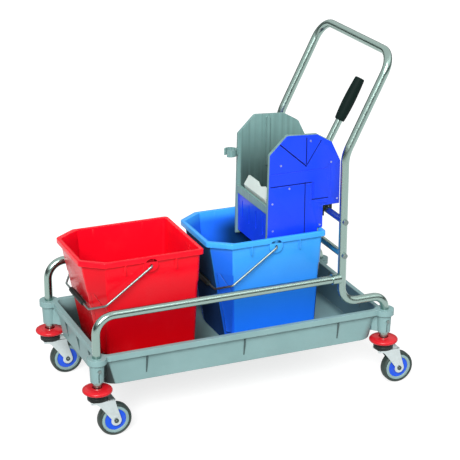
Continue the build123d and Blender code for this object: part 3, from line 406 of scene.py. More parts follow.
def make_handling_marks():
    """Thin scratches in two directions, and cloudy scuffs."""
    inputs = {"Scratch Size": 26.0, "Scuff Size": 9.0}
    tree, given, place, end = new_group("Handling Marks", inputs, ("Scratches", "Scuffs"))
    lines = []
    for turn, squeeze in (((0.3, 0.5, 0.2), (1.0, 6.0, 9.0)), ((1.1, 0.2, 0.9), (7.0, 1.0, 5.0))):
        lay = made(tree, "ShaderNodeMapping", {"Vector": place, "Rotation": turn, "Scale": squeeze})
        inputs = {"Vector": lay["Vector"], "Scale": given["Scratch Size"]}
        cells = made(tree, "ShaderNodeTexVoronoi", inputs, feature="DISTANCE_TO_EDGE")
        lines.append(spread(tree, cells["Distance"], 0.012, 0.0))
    cloud = noise(tree, place, given["Scuff Size"], 5.0, 0.62)
    kept = sums(tree, "MULTIPLY", sums(tree, "MAXIMUM", *lines), spread(tree, cloud, 0.54, 0.72))
    feed(tree, end, {"Scratches": kept, "Scuffs": spread(tree, cloud, 0.50, 0.78)})


def make_floor_dirt():
    """Dried grime that thins out with the height over the floor."""
    inputs = {"Reach": 0.12, "Speck Size": 60.0}
    tree, given, place, end = new_group("Floor Dirt", inputs, ("Mask",))
    height = made(tree, "ShaderNodeSeparateXYZ", {"Vector": place})["Z"]
    low = spread(tree, sums(tree, "DIVIDE", height, given["Reach"]), 1.0, 0.0)
    speck = spread(tree, noise(tree, place, given["Speck Size"], 6.0, 0.66), 0.44, 0.72)
    feed(tree, end, {"Mask": sums(tree, "MULTIPLY", low, speck)})


def make_drawn_lines():
    """Lines that drawing and polishing leave along metal."""
    inputs = {"Stretch": (4.0, 500.0, 500.0), "Cloud Size": 16.0}
    tree, given, place, end = new_group("Drawn Lines", inputs, ("Lines", "Cloud"))
    lay = made(tree, "ShaderNodeVectorMath", {0: place, 1: given["Stretch"]}, operation="MULTIPLY")
    lines = noise(tree, lay["Vector"], 1.0, 2.0, 0.5)
    feed(tree, end, {"Lines": lines, "Cloud": noise(tree, place, given["Cloud Size"], 4.0, 0.6)})


def use_group(tree, name, **values):
    """The outputs of a shared group with this material's own values."""
    inputs = {key.replace("_", " ").title(): value for key, value in values.items()}
    return made(tree, "ShaderNodeGroup", inputs, node_tree=bpy.data.node_groups[name])


def new_finish(name):
    paint = bpy.data.materials.new(name)
    paint.use_nodes = True
    return paint.node_tree, paint.node_tree.nodes["Principled BSDF"]


def tint(colour, factor):
    return tuple(min(1.0, part * factor) for part in colour)


def blend(colour, other, share):
    return tuple(a + (b - a) * share for a, b in zip(colour, other))


def patch(tree, limits):
    """A mask that is 1 where every (axis, lean, from, to) limit is passed, in metres in the shared frame."""
    parts = made(tree, "ShaderNodeSeparateXYZ", {"Vector": place_on(tree)})
    mask = None
    for axis, lean, start, end in limits:
        value = parts[axis[-1]]
        if axis == "+-Y":
            value = sums(tree, "ABSOLUTE", value)
        if lean:
            value = sums(tree, "ADD", value, scaled(tree, parts["Z"], lean))
        step = spread(tree, value, start, end, interpolation_type="SMOOTHSTEP")
        mask = step if mask is None else sums(tree, "MULTIPLY", mask, step)
    return mask


def inside_bucket(colour):
    """The limits that keep a patch of painted shade to the inner faces of a bucket's leaning walls."""
    s = sizes()
    low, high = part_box(f"{colour}_bucket")
    height = high.z - low.z
    middle = s.rim_overhang + s.wall / 2
    limits = []
    for axis, wall, draft in (("+-Y", RIM_HALF, s.side_draft), ("X", high.x, s.rear_draft)):
        edge = wall - middle - draft * high.z / height
        limits.append((axis, -draft / height, edge + 0.0006, edge - 0.0006))
    edge = low.x + middle + s.front_draft * high.z / height
    limits.append(("X", s.front_draft / height, edge - 0.0006, edge + 0.0006))
    limits.append(("Z", 0.0, high.z - 0.003, high.z - 0.030))
    return limits


def outside_front(colour):
    """The limits that keep a patch of painted shadow to the outer face of a bucket's leaning front wall,
    under the rim.
    """
    s = sizes()
    low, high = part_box(f"{colour}_bucket")
    height = high.z - low.z
    edge = low.x + s.rim_overhang + s.front_draft * high.z / height
    skirt = high.z - s.skirt
    return [("X", s.front_draft / height, edge + 0.0016, edge + 0.0004), ("Z", 0.0, skirt, skirt - 0.004)]


def plastic(
    name, colour, roughness, edge=0.0012, rub=0.35, grain=900.0, depth=0.00004,
    dirt=0.0, gloss=0.25, streak=0.0, wear=1.0, shade_patches=(),
):
    """Moulded plastic: mottled colour, pale rubbed edges, scuffs, scratches, a fine grain and any patches of
    painted shade.
    """
    colour = tuple(colour)
    tree, shader = new_finish(name)
    skin = use_group(tree, "Moulded Skin", grain_size=grain, mottle_size=11.0)
    edges = use_group(tree, "Rubbed Edges", radius=edge, patch_size=48.0)
    marks = use_group(tree, "Handling Marks", scratch_size=22.0, scuff_size=8.0)
    rough = scaled(tree, skin["Mottle"], 0.08, roughness - 0.04)
    rough = scaled(tree, marks["Scuffs"], 0.14 * wear, rough)
    rough = scaled(tree, marks["Scratches"], 0.10 * wear, rough)
    body = mixed(tree, skin["Mottle"], tint(colour, 0.93), tint(colour, 1.05))
    # Painted shade: each patch deepens the colour within its limits, and may roughen the surface there too.
    for limits, share, shade_colour, dullness in shade_patches:
        mask = patch(tree, limits)
        body = mixed(tree, scaled(tree, mask, share), body, shade_colour)
        if dullness:
            rough = scaled(tree, mask, dullness, rough)
    if streak:
        drawn = use_group(tree, "Drawn Lines", stretch=(170.0, 170.0, 2.5), cloud_size=6.0)
        streaks = spread(tree, drawn["Lines"], 0.40, 0.72, 0.0, streak)
        body = mixed(tree, streaks, body, tint(colour, 0.45))
    for mask, share, grey, pale in (
        (marks["Scuffs"], 0.10 * wear, 0.7, 0.3),
        (marks["Scratches"], 0.28 * wear, 0.8, 0.4),
        (edges["Mask"], rub, 0.85, 0.45),
    ):
        body = mixed(tree, scaled(tree, mask, share), body, blend(colour, (grey, grey, grey), pale))
    if dirt:
        grime = use_group(tree, "Floor Dirt", reach=0.16, speck_size=55.0)
        body = mixed(tree, scaled(tree, grime["Mask"], dirt), body, (0.20, 0.19, 0.16))
    normal = bump(tree, skin["Grain"], edges["Normal"], 0.35, depth)
    feed(tree, shader, {"Base Color": body, "Roughness": rough, "Normal": normal})
    feed(tree, shader, {"IOR": 1.45, "Specular IOR Level": gloss})


def metal(name, colour, roughness, stretch, dirt=0.0):
    """Drawn or plated metal: fine lines, cloudy polish and dulled handling marks."""
    colour = tuple(colour)
    tree, shader = new_finish(name)
    drawn = use_group(tree, "Drawn Lines", stretch=stretch, cloud_size=13.0)
    edges = use_group(tree, "Rubbed Edges", radius=0.0006, patch_size=60.0)
    marks = use_group(tree, "Handling Marks", scratch_size=30.0, scuff_size=10.0)
    body = mixed(tree, drawn["Lines"], tint(colour, 0.90), tint(colour, 1.06))
    body = mixed(tree, scaled(tree, drawn["Cloud"], 0.25), body, tint(colour, 0.82))
    body = mixed(tree, scaled(tree, edges["Mask"], 0.4), body, tint(colour, 1.2))
    if dirt:
        grime = use_group(tree, "Floor Dirt", reach=0.14, speck_size=70.0)
        body = mixed(tree, scaled(tree, grime["Mask"], dirt), body, (0.16, 0.14, 0.11))
    rough = scaled(tree, drawn["Lines"], 0.10, roughness - 0.05)
    rough = scaled(tree, marks["Scuffs"], 0.12, rough)
    normal = bump(tree, drawn["Lines"], edges["Normal"], 0.25, 0.000012)
    feed(tree, shader, {"Base Color": body, "Roughness": rough, "Normal": normal, "Metallic": 1.0})


def rubber(name, colour):
    """Dull tyre rubber with floor dirt in its grain."""
    colour = tuple(colour)
    tree, shader = new_finish(name)
    skin = use_group(tree, "Moulded Skin", grain_size=700.0, mottle_size=30.0)
    grime = use_group(tree, "Floor Dirt", reach=0.10, speck_size=85.0)
    body = mixed(tree, skin["Mottle"], tint(colour, 0.8), tint(colour, 1.35))
    body = mixed(tree, scaled(tree, grime["Mask"], 0.45), body, (0.10, 0.10, 0.088))
    rough = scaled(tree, skin["Mottle"], 0.14, 0.52)
    normal = bump(tree, skin["Grain"], None, 0.4, 0.00008)
    feed(tree, shader, {"Base Color": body, "Roughness": rough, "Normal": normal})


def make_finishes():
    """The shared groups, then every finish by its name."""
    make_moulded_skin()
    make_rubbed_edges()
    make_handling_marks()
    make_floor_dirt()
    make_drawn_lines()
    c = colours()
    # Painted shade: the buckets' colour deepens towards the foot of the walls.
    low_wall_shade = [("Z", 0.0, 0.385, 0.160)]
    # Painted shadow: the blue bucket's inner walls beside the wringer go almost black.
    shadow_beside_wringer = inside_bucket("blue") + [("X", 0.0, -0.010, 0.070), ("Z", 0.0, 0.395, 0.340)]
    # Painted shade: the cheeks' inner faces darken from the top downwards.
    inner_cheek_shade = [("+-Y", 0.0, 0.0892, 0.0882), ("X", 0.0, 0.0775, 0.0830), ("Z", 0.0, 0.640, 0.475)]
    # Painted shadow on the tray's floor and walls between the two buckets.
    shadow_between_buckets = [("+-Y", -TRAY_LEAN, 0.1585, 0.1573), ("X", TRAY_LEAN, -0.3565, -0.3553)]
    shadow_between_buckets += [("X", 0.0, -0.010, -0.100), ("Z", 0.0, 0.200, 0.160)]
    # Painted shade, tinted blue by the bucket beside it, on the inside of the tray's rear wall.
    rear_wall_shade = [("+-Y", 0.0, 0.1665, 0.1655), ("X", -TRAY_LEAN, 0.3125, 0.3113), ("X", 0.0, 0.296, 0.318)]
    # Red bucket: painted shade low on the walls and, lightly, inside.
    red_shade_patches = [
        (low_wall_shade, 0.85, (0.60, 0.0006, 0.0030), 0.0),
        (inside_bucket("red"), 0.25, tint(c.red_bucket, 0.4), 0.0),
    ]
    # Blue bucket: painted shade low on the walls and inside, and painted shadow beside the wringer and on
    # the front wall, which is also made rougher.
    blue_shade_patches = [
        (low_wall_shade, 0.90, (0.008, 0.17, 1.0), 0.0),
        (inside_bucket("blue"), 0.75, (0.010, 0.115, 0.95), 0.0),
        (shadow_beside_wringer, 0.92, tint(c.blue_bucket, 0.05), 0.0),
        (outside_front("blue"), 0.85, tint(c.blue_bucket, 0.04), 0.7),
    ]
    cheek_shade_patches = [(inner_cheek_shade, 0.85, tint(c.cheek, 0.08), 0.0)]
    tray_shade_patches = [
        (shadow_between_buckets, 0.90, tint(c.tray, 0.05), 0.0),
        (rear_wall_shade, 0.70, (0.020, 0.060, 0.085), 0.0),
    ]
    bucket = {"edge": 0.0015, "gloss": 0.22, "wear": 0.35}
    plastic("red_moulding", c.red_bucket, 0.22, rub=0.16, shade_patches=red_shade_patches, **bucket)
    plastic("blue_moulding", c.blue_bucket, 0.22, rub=0.20, shade_patches=blue_shade_patches, **bucket)
    plastic("cover_moulding", c.cover, 0.32, edge=0.0006, rub=0.10, gloss=0.35, wear=0.5)
    plastic("groove_shade", tint(c.cover, 0.18), 0.45, rub=0.0, wear=0.2)
    plastic(
        "cheek_moulding", c.cheek, 0.40, rub=0.20, grain=500.0, depth=0.00009, streak=0.45,
        shade_patches=cheek_shade_patches,
    )
    plastic("press_moulding", tint(c.cheek, 0.05), 0.45, rub=0.10)
    plastic("tray_moulding", c.tray, 0.40, edge=0.0018, rub=0.30, dirt=0.35, shade_patches=tray_shade_patches)
    # Painted shade: a darker copy of the tray colour for the ribs' shadowed sides.
    plastic("rib_painted_shade", tint(c.tray, 0.30), 0.5, rub=0.05)
    plastic("jaw_moulding", c.jaw, 0.36, edge=0.0010, rub=0.10)
    plastic("disc_moulding", c.disc, 0.30, edge=0.0010, rub=0.15, dirt=0.12, gloss=0.4, wear=0.5)
    plastic("black_moulding", c.black, 0.42, edge=0.0008, rub=0.18, grain=650.0, depth=0.00010)
    plastic("ring_moulding", c.ring, 0.38, edge=0.0006, rub=0.20, dirt=0.30)
    plastic("hub_moulding", c.hub, 0.32, edge=0.0006, rub=0.25, dirt=0.20)
    rubber("tyre_compound", c.tyre)
    plastic(
        "grip_rubber", c.grip, 0.62, edge=0.0010, rub=0.0, grain=420.0, depth=0.00045,
        gloss=0.12, wear=0.3,
    )
    metal("tube_lengthwise", c.tube, 0.22, (5.0, 420.0, 420.0))
    metal("tube_upright", c.tube, 0.27, (420.0, 420.0, 5.0))
    metal("tube_crosswise", c.tube, 0.24, (420.0, 5.0, 420.0))
    metal("zinc_plate", c.zinc, 0.34, EVEN_LINES, dirt=0.25)
    metal("bail_wire", c.wire, 0.40, (160.0, 20.0, 160.0))
    metal("axle_rivet", tint(c.wire, 0.35), 0.40, EVEN_LINES)
    metal("screw_zinc", blend(c.zinc, c.cover, 0.45), 0.30, EVEN_LINES)
    metal("bare_steel", c.gear, 0.36, (220.0, 30.0, 220.0))
    metal("bare_brass", c.brass, 0.34, (180.0, 20.0, 180.0))


def rounded_outline(corners, radii, arc=4):
    """A flat outline with the given corner radii, as one ring of points."""
    ring = []
    for i, (point, radius) in enumerate(zip(corners, radii)):
        here = Vector(point)
        back = (Vector(corners[i - 1]) - here).normalized()
        ahead = (Vector(corners[(i + 1) % len(corners)]) - here).normalized()
        half_angle = back.angle(ahead) / 2
        middle = here + (back + ahead).normalized() * (radius / sin(half_angle))
        start = here + back * (radius / tan(half_angle)) - middle
        end = here + ahead * (radius / tan(half_angle)) - middle
        for step in range(arc + 1):
            ring.append(middle + start.lerp(end, step / arc).normalized() * radius)
    return ring


def inset_outline(points, amount):
    """The outline moved inwards all round; it runs clockwise."""
    ring = [Vector(point) for point in points]
    moved = []
    for i, here in enumerate(ring):
        back = (here - ring[i - 1]).normalized()
        ahead = (ring[(i + 1) % len(ring)] - here).normalized()
        first = Vector((back.y, -back.x))
        second = Vector((ahead.y, -ahead.x))
        moved.append(here + (first + second) * (amount / (1.0 + first.dot(second))))
    return moved


def bucket_plan(front, rear, half, corner, height, cut):
    """A box plan with its two front corners cut, every corner rounded, as one ring of points."""
    side = half - sizes().chamfer_y
    corners = [(front, -side), (front + cut, -half), (rear, -half)]
    corners += [(rear, half), (front + cut, half), (front, side)]
    return [Vector((p.x, p.y, height)) for p in rounded_outline(corners, [corner] * 6, 5)]


class MESH_OT_trolley_finishes(Operator):
    """Make the node groups and the finishes of all pieces"""

    bl_idname = "mesh.trolley_finishes"
    bl_label = "Finishes"

    def execute(self, context):
        make_finishes()
        return {"FINISHED"}


class MESH_OT_trolley_buckets(Operator):
    """Model both buckets: rolled rim, hanging skirt, stepped walls, ears and short ribs"""

    bl_idname = "mesh.trolley_buckets"
    bl_label = "Buckets"

    def execute(self, context):
        s = sizes()
        for colour in BUCKETS:
            node = f"{colour}_bucket"
            low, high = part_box(node)
            foot, rim = low.z, high.z
            half = RIM_HALF

            def ring(height, inset, corner=s.corner):
                """The plan at a height, moved in from the outside of the rim's plan."""
                share = (rim - height) / (rim - foot)
                front = low.x + inset + s.front_draft * share
                rear = high.x - inset - s.rear_draft * share
                side = half - inset - s.side_draft * share
                cut = s.chamfer_x + (s.foot_chamfer_x - s.chamfer_x) * share
                return bucket_plan(front, rear, side, corner, height, cut)

            def upright(height, inset, corner=s.corner):
                """The same without any lean, for the rim and its skirt."""
                return bucket_plan(low.x + inset, high.x - inset, half - inset, corner, height, s.chamfer_x)

            wall = s.rim_overhang
            inner = wall + s.wall
            belt = foot + s.belt_height
            roll = s.foot_roll
            hem = rim - s.skirt
            rings = [
                ring(foot, wall + roll, 0.006),
                ring(foot + 0.0006, wall + roll * 0.5, 0.007),
                ring(foot + roll * 0.35, wall + roll * 0.12, 0.009),
                ring(foot + roll, wall),
                ring(belt - 0.0015, wall),
                ring(belt + 0.0015, wall - s.belt),
                ring(rim - 0.003, wall - s.belt),
                upright(rim - 0.003, s.skirt_sheet),
                upright(hem, s.skirt_sheet),
                upright(hem - 0.0003, s.skirt_sheet / 2),
                upright(hem, 0.0),
            ]
            for turn in (0, 30, 60, 90):
                bend = radians(turn)
                rings.append(upright(rim - 0.0025 * (1 - sin(bend)), 0.0025 * (1 - cos(bend))))
            rings += [
                upright(rim, inner - 0.003, 0.008),
                upright(rim - 0.0008, inner - 0.0008, 0.0075),
                ring(rim - 0.004, inner, 0.007),
                ring(foot + 0.012, inner, 0.007),
                ring(foot + 0.0065, inner + 0.0025, 0.006),
                ring(foot + 0.004, inner + 0.009, 0.005),
            ]
            shell = smooth(stack(f"{colour}_shell", rings), 34)

            pivot = Vector((low.x + PIVOT_BACK, 0.0, rim - PIVOT_DROP))
            extras = []
            for side in (-1, 1):
                face = half - s.rim_overhang - 0.0022
                profile = [(face, 0.0), (face, 0.0175), (half - 0.0012, 0.0175), (half - 0.0003, 0.0171)]
                profile += [(half, 0.0163), (half, 0.0032), (half - 0.0015, 0.0029), (half - 0.0015, 0.0)]
                profile = [(a * side, r) for a, r in profile]
                extras.append(smooth(turned(f"{colour}_ear", profile, pivot, (0, 1, 0), 40)))
                for step in (-1, 1):
                    x = pivot.x + step * 0.062
                    y = sorted((side * (half - 0.0105), side * (half - 0.0002)))
                    low_rib = (x - 0.00125, y[0], hem - 0.025)
                    rib = block(f"{colour}_rib", low_rib, (x + 0.00125, y[1], rim - 0.005), 0.0006)
                    extras.append(smooth(rib))
            bucket = joined(f"{colour}_bucket_shell", [shell] + extras)
            fitted(bucket, node, f"{colour}_moulding", [node])
        return {"FINISHED"}


class MESH_OT_trolley_bails(Operator):
    """Finish the bail wires and model their grips: crowned, ringed and rounded at the ends"""

    bl_idname = "mesh.trolley_bails"
    bl_label = "Bails"

    def execute(self, context):
        for colour in BUCKETS:
            dressed("bail_wire", f"{colour}_bail")
            node = f"{colour}_bail_grip"
            low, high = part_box(node)
            centre = (low + high) / 2
            centre.y = 0.0
            reach = high.y
            radius = (high.x - low.x) / 2
            bore = 0.0027
            profile = [(-reach, bore), (-reach, radius * 0.80), (-reach + 0.0008, radius * 0.88)]
            count = 18
            for step in range(count + 1):
                y = -reach + 0.003 + (2 * reach - 0.006) * step / count
                crown = radius * (0.90 + 0.10 * (1 - (y / reach) ** 2)) - 0.0001
                profile.append((y - 0.0009, crown))
                profile.append((y + 0.0009, crown - 0.0006))
            profile += [(reach - 0.0008, radius * 0.86), (reach, radius * 0.80), (reach, bore)]
            grip = smooth(turned(f"{colour}_bail_sleeve", profile, centre, (0, 1, 0), 40), 50)
            fitted(grip, node, "black_moulding", [node])
        return {"FINISHED"}


class MESH_OT_trolley_casters(Operator):
    """Model the bumper discs, housings, wheels and pressed forks"""

    bl_idname = "mesh.trolley_casters"
    bl_label = "Casters"

    def execute(self, context):
        steps = sizes().turned_steps
        posts = {}
        for wheel in WHEELS:
            low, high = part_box(f"caster_{wheel}_tyre")
            posts[wheel] = Vector(((low.x + high.x) / 2 - TRAIL, (low.y + high.y) / 2, 0.0))

        def at_posts(label, profile, angle):
            """The same turned form round every caster's post, as one piece."""
            rows = []
            for wheel, post in posts.items():
                rows.append(smooth(turned(f"{label}_{wheel}", profile, post, (0, 0, 1), steps), angle))
            return joined(f"{label}_set", rows)

        low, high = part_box("bumper_discs")
        tall = high.z - low.z
        profile = [(low.z, 0.0122), (low.z, 0.027), (low.z + 0.0008, 0.0302)]
        for turn in range(-60, 61, 15):
            bend = radians(turn)
            height = low.z + tall * 0.46 + tall * 0.34 * sin(bend)
            profile.append((height, 0.0300 + 0.0050 * cos(bend)))
        profile += [(high.z - 0.0016, 0.0290), (high.z - 0.0005, 0.0245)]
        profile += [(high.z, 0.0200), (high.z, 0.0122)]
        discs = at_posts("bumper_disc", profile, 40)
        fitted(discs, "trolley", "disc_moulding", ["bumper_discs"])

        low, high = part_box("swivel_housings")
        profile = [(low.z, 0.0065), (low.z, 0.0222), (low.z + 0.0007, 0.0236), (low.z + 0.0018, 0.0240)]
        profile += [(low.z + 0.0075, 0.0240), (low.z + 0.0083, 0.0232), (low.z + 0.0093, 0.0232)]
        profile += [(low.z + 0.0101, 0.0239), (high.z - 0.0022, 0.0236), (high.z - 0.0008, 0.0226)]
        profile += [(high.z, 0.0210), (high.z, 0.0065)]
        housings = at_posts("swivel_housing", profile, 35)
        fitted(housings, "trolley", "black_moulding", ["swivel_housings"])

        for wheel in WHEELS:
            body = f"wheel_{wheel}"
            low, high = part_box(f"caster_{wheel}_tyre")
            centre = (low + high) / 2
            radius = (high.z - low.z) / 2
            half = (high.y - low.y) / 2
            ring_low, ring_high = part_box(f"caster_{wheel}_ring")
            seat = (ring_high.z - ring_low.z) / 2
            profile = [(-half + 0.0022, seat), (-half + 0.0006, seat + 0.0006), (-half, seat + 0.0018)]
            profile += [(-half, radius - 0.0050), (-half + 0.0007, radius - 0.0030)]
            profile += [(-half + 0.0026, radius - 0.0012), (-half * 0.55, radius - 0.0002)]
            profile += [(-0.0006, radius - 0.0001)]
            profile += [(0.0, radius)] + [(-a, r) for a, r in reversed(profile)]
            tyre = smooth(turned(f"{wheel}_tread", profile, centre, (0, 1, 0), steps), 40)
            fitted(tyre, body, "tyre_compound", [f"caster_{wheel}_tyre"])

            half = (ring_high.y - ring_low.y) / 2
            bore = 0.0256
            profile = [(-half + 0.0010, bore), (-half + 0.0001, bore + 0.0008), (-half, bore + 0.0016)]
            profile += [(-half, seat - 0.0018), (-half + 0.0005, seat - 0.0006), (-half + 0.0016, seat)]
            profile += [(-a, r) for a, r in reversed(profile)]
            ring = smooth(turned(f"{wheel}_band", profile, centre, (0, 1, 0), steps), 35)
            fitted(ring, body, "ring_moulding", [f"caster_{wheel}_ring"])
            dressed("hub_moulding", f"caster_{wheel}_hub")
            dressed("axle_rivet", f"caster_{wheel}_axle")

            low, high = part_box(f"caster_{wheel}_fork")
            post = posts[wheel]
            eye, sheet = 0.0125, 0.0025
            outline = [(-0.020, 0.095), (0.038, 0.095), (0.038, 0.0890)]
            outline += [(0.0405, 0.078), (0.0455, 0.062)]
            for turn in range(12, -196, -16):
                bend = radians(turn)
                outline.append((TRAIL + eye * cos(bend), 0.040 + eye * sin(bend)))
            outline += [(0.0275, 0.0450), (0.0120, 0.0660), (-0.0020, 0.0845)]
            outline += [(-0.0080, 0.0885), (-0.020, 0.0897)]
            legs = []
            for near, far in ((low.y, low.y + sheet), (high.y - sheet, high.y)):
                rings = []
                for y, inset in ((near, 0.0007), (near + 0.0005, 0.0), (far - 0.0005, 0.0), (far, 0.0007)):
                    rings.append([Vector((post.x + p.x, y, p.y)) for p in inset_outline(outline, inset)])
                legs.append(smooth(stack("fork_leg", rings), 40))
            crown_low = (post.x - 0.020, low.y, high.z - sheet)
            legs.append(smooth(block("fork_crown", crown_low, (post.x + 0.038, high.y, high.z), 0.0009)))
            fork = joined(f"{wheel}_fork", legs)
            fitted(fork, f"caster_{wheel}", "zinc_plate", [f"caster_{wheel}_fork"])
        dressed("zinc_plate", "caster_stems")
        return {"FINISHED"}


class MESH_OT_trolley_frame(Operator):
    """Finish the tray, tubes, collars, bolts and screws, and cover the tray's ribs with darker shells that
    paint their shade
    """

    bl_idname = "mesh.trolley_frame"
    bl_label = "Frame and tray"

    def execute(self, context):
        dressed("tray_moulding", "base_tray")
        dressed("tube_lengthwise", "side_rail_left", "side_rail_right", "rail_collars")
        dressed("tube_upright", "handle_frame")
        dressed("tube_crosswise", "crossbar_upper", "crossbar_lower")
        dressed("bail_wire", "crossbar_bolts", "socket_screws")

        rib_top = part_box("base_tray")[1].z - 0.0032
        rib_tall, rib_out, rib_half = 0.0660, 0.0135, 0.0016
        places = []
        for side in (-1, 1):
            for step in (-1, 0, 1):
                places.append(((TRAY_MIDDLE + step * 0.244, side * 0.171), (0, side)))
                places.append(((TRAY_MIDDLE + side * 0.347, step * 0.086), (side, 0)))
        ribs = []
        for (x, y), (out_x, out_y) in places:
            wall = Vector((x, y, rib_top))
            foot = Vector((x, y, rib_top - rib_tall))
            tip = wall + Vector((out_x, out_y, 0.0)) * rib_out
            across = Vector((out_y, out_x, 0.0)) * rib_half
            ring = [point - across for point in (wall, tip, foot)]
            ribs.append(stack("tray_rib", [ring, [point + across * 2 for point in ring]]))
        # The ribs take the dark copy of the tray colour: painted shade.
        fitted(joined("tray_ribs", ribs), "trolley", "rib_painted_shade", [])
        return {"FINISHED"}


class MESH_OT_trolley_covers(Operator):
    """Model the wringer's covers: plates with a fan of grooves, a raised panel, a seam and a pocket, with
    dark sheets of painted shade in the grooves
    """

    bl_idname = "mesh.trolley_covers"
    bl_label = "Covers"

    def execute(self, context):
        s = sizes()
        origin_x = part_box("left_cover")[1].x - 0.1833
        origin_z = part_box("blue_bucket")[1].z
        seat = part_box("right_cheek")[1].y
        outline = [(0.0, 0.1975), (0.0438, 0.2405), (0.122, 0.2355), (0.1598, 0.2135), (0.1843, 0.1635)]
        outline += [(0.1843, 0.0558), (0.1409, 0.0558), (0.1409, 0.001), (0.127, 0.001)]
        outline += [(0.127, -0.012), (-0.0045, -0.012)]
        plate_ring = rounded_outline(inset_outline(outline, 0.001), [0.009] * 5 + [0.002] * 6)
        panel = [(-0.0017, 0.1175), (0.110, 0.1175), (0.110, 0.0735), (0.152, 0.0735), (0.152, 0.0608)]
        panel += [(0.1359, 0.0608), (0.1359, 0.006), (0.125, 0.006), (0.125, -0.010), (-0.0042, -0.010)]
        panel_ring = rounded_outline(inset_outline(panel, 0.0022), [0.0015] * 10, 2)
        fan = [((0.0943, 0.1605), end) for end in ((0.0265, 0.2200), (0.0943, 0.2290), (0.1315, 0.2185))]
        steps = [((0.0035, 0.1185), (0.1085, 0.1185)), ((0.1118, 0.0752), (0.1525, 0.0752))]
        seam = ((0.092, 0.120), (0.092, -0.015))
        first, last = (Vector(end) + Vector((0.0016, 0.0018)) for end in fan[0])
        edges = [(first, last), ((0.1595, 0.0765), (0.1595, 0.117))]
        for side, name in ((-1, "left"), (1, "right")):

            def place(ring, out):
                return [Vector((origin_x + p.x, side * (seat + out), origin_z + p.y)) for p in ring]

            def plate(label, ring, inside, outside):
                edge = s.cover_edge
                levels = [(inside, 0.0), (outside - edge, 0.0)]
                levels += [(outside - edge * 0.3, edge * 0.3), (outside, edge)]
                return stack(label, [place(inset_outline(ring, inset), out) for out, inset in levels])

            def slot(start, end, width, floor, tall=0.01):
                """A bar along a line, standing on a floor between the cheek and well outside the cover."""
                first, last = Vector(start), Vector(end)
                middle = (first + last) / 2
                run = last - first
                pick()
                bpy.ops.mesh.primitive_cube_add(size=1.0)
                bar = named("groove")
                bar.scale = (run.length + width, tall, width)
                bar.rotation_euler = (0.0, -run.angle_signed(Vector((1, 0))), 0.0)
                bar.location = (origin_x + middle.x, side * (seat + floor + tall / 2), origin_z + middle.y)
                bpy.ops.object.transform_apply(location=True, rotation=True, scale=True)
                return bar

            face = 0.0025
            cover = plate(f"{name}_plate", plate_ring, 0.0, face)
            grooves = [slot(a, b, s.groove, face - s.groove_depth) for a, b in fan + steps]
            for start, end, width, depth in (
                ((0.1124, 0.1170), (0.1124, 0.0770), 0.0048, s.groove_depth),
                ((0.0035, 0.1495), (0.1500, 0.1495), 0.0016, 0.0009),
                ((0.1545, 0.1245), (0.1545, 0.1540), 0.0080, 0.0010),
            ):
                grooves.append(slot(start, end, width, face - depth))
            cover = carved(cover, grooves)
            raised = plate(f"{name}_panel", panel_ring, face - 0.0002, face + 0.001)
            raised = carved(raised, [slot(*seam, 0.0026, face - 0.0001)])
            beads = [slot(a, b, 0.0013, face - 0.0012, 0.0020) for a, b in edges]
            piece = close_up(joined(f"{name}_cover_plate", [cover, raised] + beads))
            fitted(smooth(piece, 25), "wringer", "cover_moulding", [f"{name}_cover"])

            # Painted shade: dark sheets on the groove floors and under the seam make the grooves read as
            # shadowed lines.
            floors = [slot(a, b, s.groove - 0.0004, 0.0002, 0.0011) for a, b in fan + steps]
            floors.append(slot(*seam, 0.0022, face - 0.0005, 0.0006))
            groove_shade_sheets = joined(f"{name}_groove_shade_lines", floors)
            fitted(groove_shade_sheets, "wringer", "groove_shade", [])
        return {"FINISHED"}


class MESH_OT_trolley_wringer(Operator):
    """Finish the wringer's shells, jaw, press and gears, and model the lever's grip"""

    bl_idname = "mesh.trolley_wringer"
    bl_label = "Wringer"

    def execute(self, context):
        dressed("cheek_moulding", "left_cheek", "right_cheek", "front_bar", "handle_clip")
        dressed("screw_zinc", "left_cover_screws", "right_cover_screws")
        dressed("zinc_plate", "tie_rods")
        # Painted shade: the drain floor seen through the grille's slots takes the dark groove finish.
        dressed("groove_shade", "drain_floor")
        dressed("jaw_moulding", "squeeze_jaw")
        dressed("press_moulding", "press_plate")
        dressed("bare_steel", "racks", "pinions", "drive_shaft", "return_spring")
        dressed("bare_brass", "shaft_bushes")
        dressed("tube_upright", "lever")
        dressed("black_moulding", "bar_saddles")

        low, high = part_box("drain_panel")
        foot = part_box("drain_floor")[1].z
        reach = high.y
        ring = [Vector((low.x, -reach, foot)), Vector((low.x, reach, foot))]
        ring += [Vector((low.x, reach, high.z)), Vector((low.x, -reach, high.z))]
        shift = Vector((high.x - low.x, 0.0, 0.0))
        panel = stack("drain_grille_plate", [ring, [point + shift for point in ring]])
        bars = []
        for y in (-0.060, -0.020, 0.020, 0.060):
            slot_low = (low.x - 0.01, y - 0.0026, high.z - 0.060)
            slot_high = (high.x + 0.01, y + 0.0026, high.z - 0.014)
            bars.append(block("drain_slot", slot_low, slot_high, 0.0022))
        grille = smooth(carved(panel, bars))
        fitted(grille, "wringer", "cover_moulding", ["drain_panel"])

        along = Vector((sin(LEVER_LEAN), 0.0, cos(LEVER_LEAN)))
        low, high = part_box("lever_grip")
        middle = (low + high) / 2
        half = 0.055
        bore = 0.00855
        profile = [(-half, bore), (-half, 0.0110), (-half + 0.0008, 0.0117), (-half + 0.0024, 0.0121)]
        for step in range(1, 16):
            share = step / 16
            crown = 0.0121 + 0.0023 * sin(pi * share ** 0.85)
            profile.append((-half + 0.0024 + (2 * half - 0.0056) * share, crown))
        profile += [(half - 0.0030, 0.0119), (half - 0.0012, 0.0112)]
        profile += [(half - 0.0003, 0.0098), (half, 0.0078)]
        profile += [(half, 0.0), (half - 0.004, 0.0), (half - 0.004, bore)]
        grip = smooth(turned("lever_sleeve", profile, middle, along, 48), 40)
        fitted(grip, "lever", "grip_rubber", ["lever_grip"])
        return {"FINISHED"}


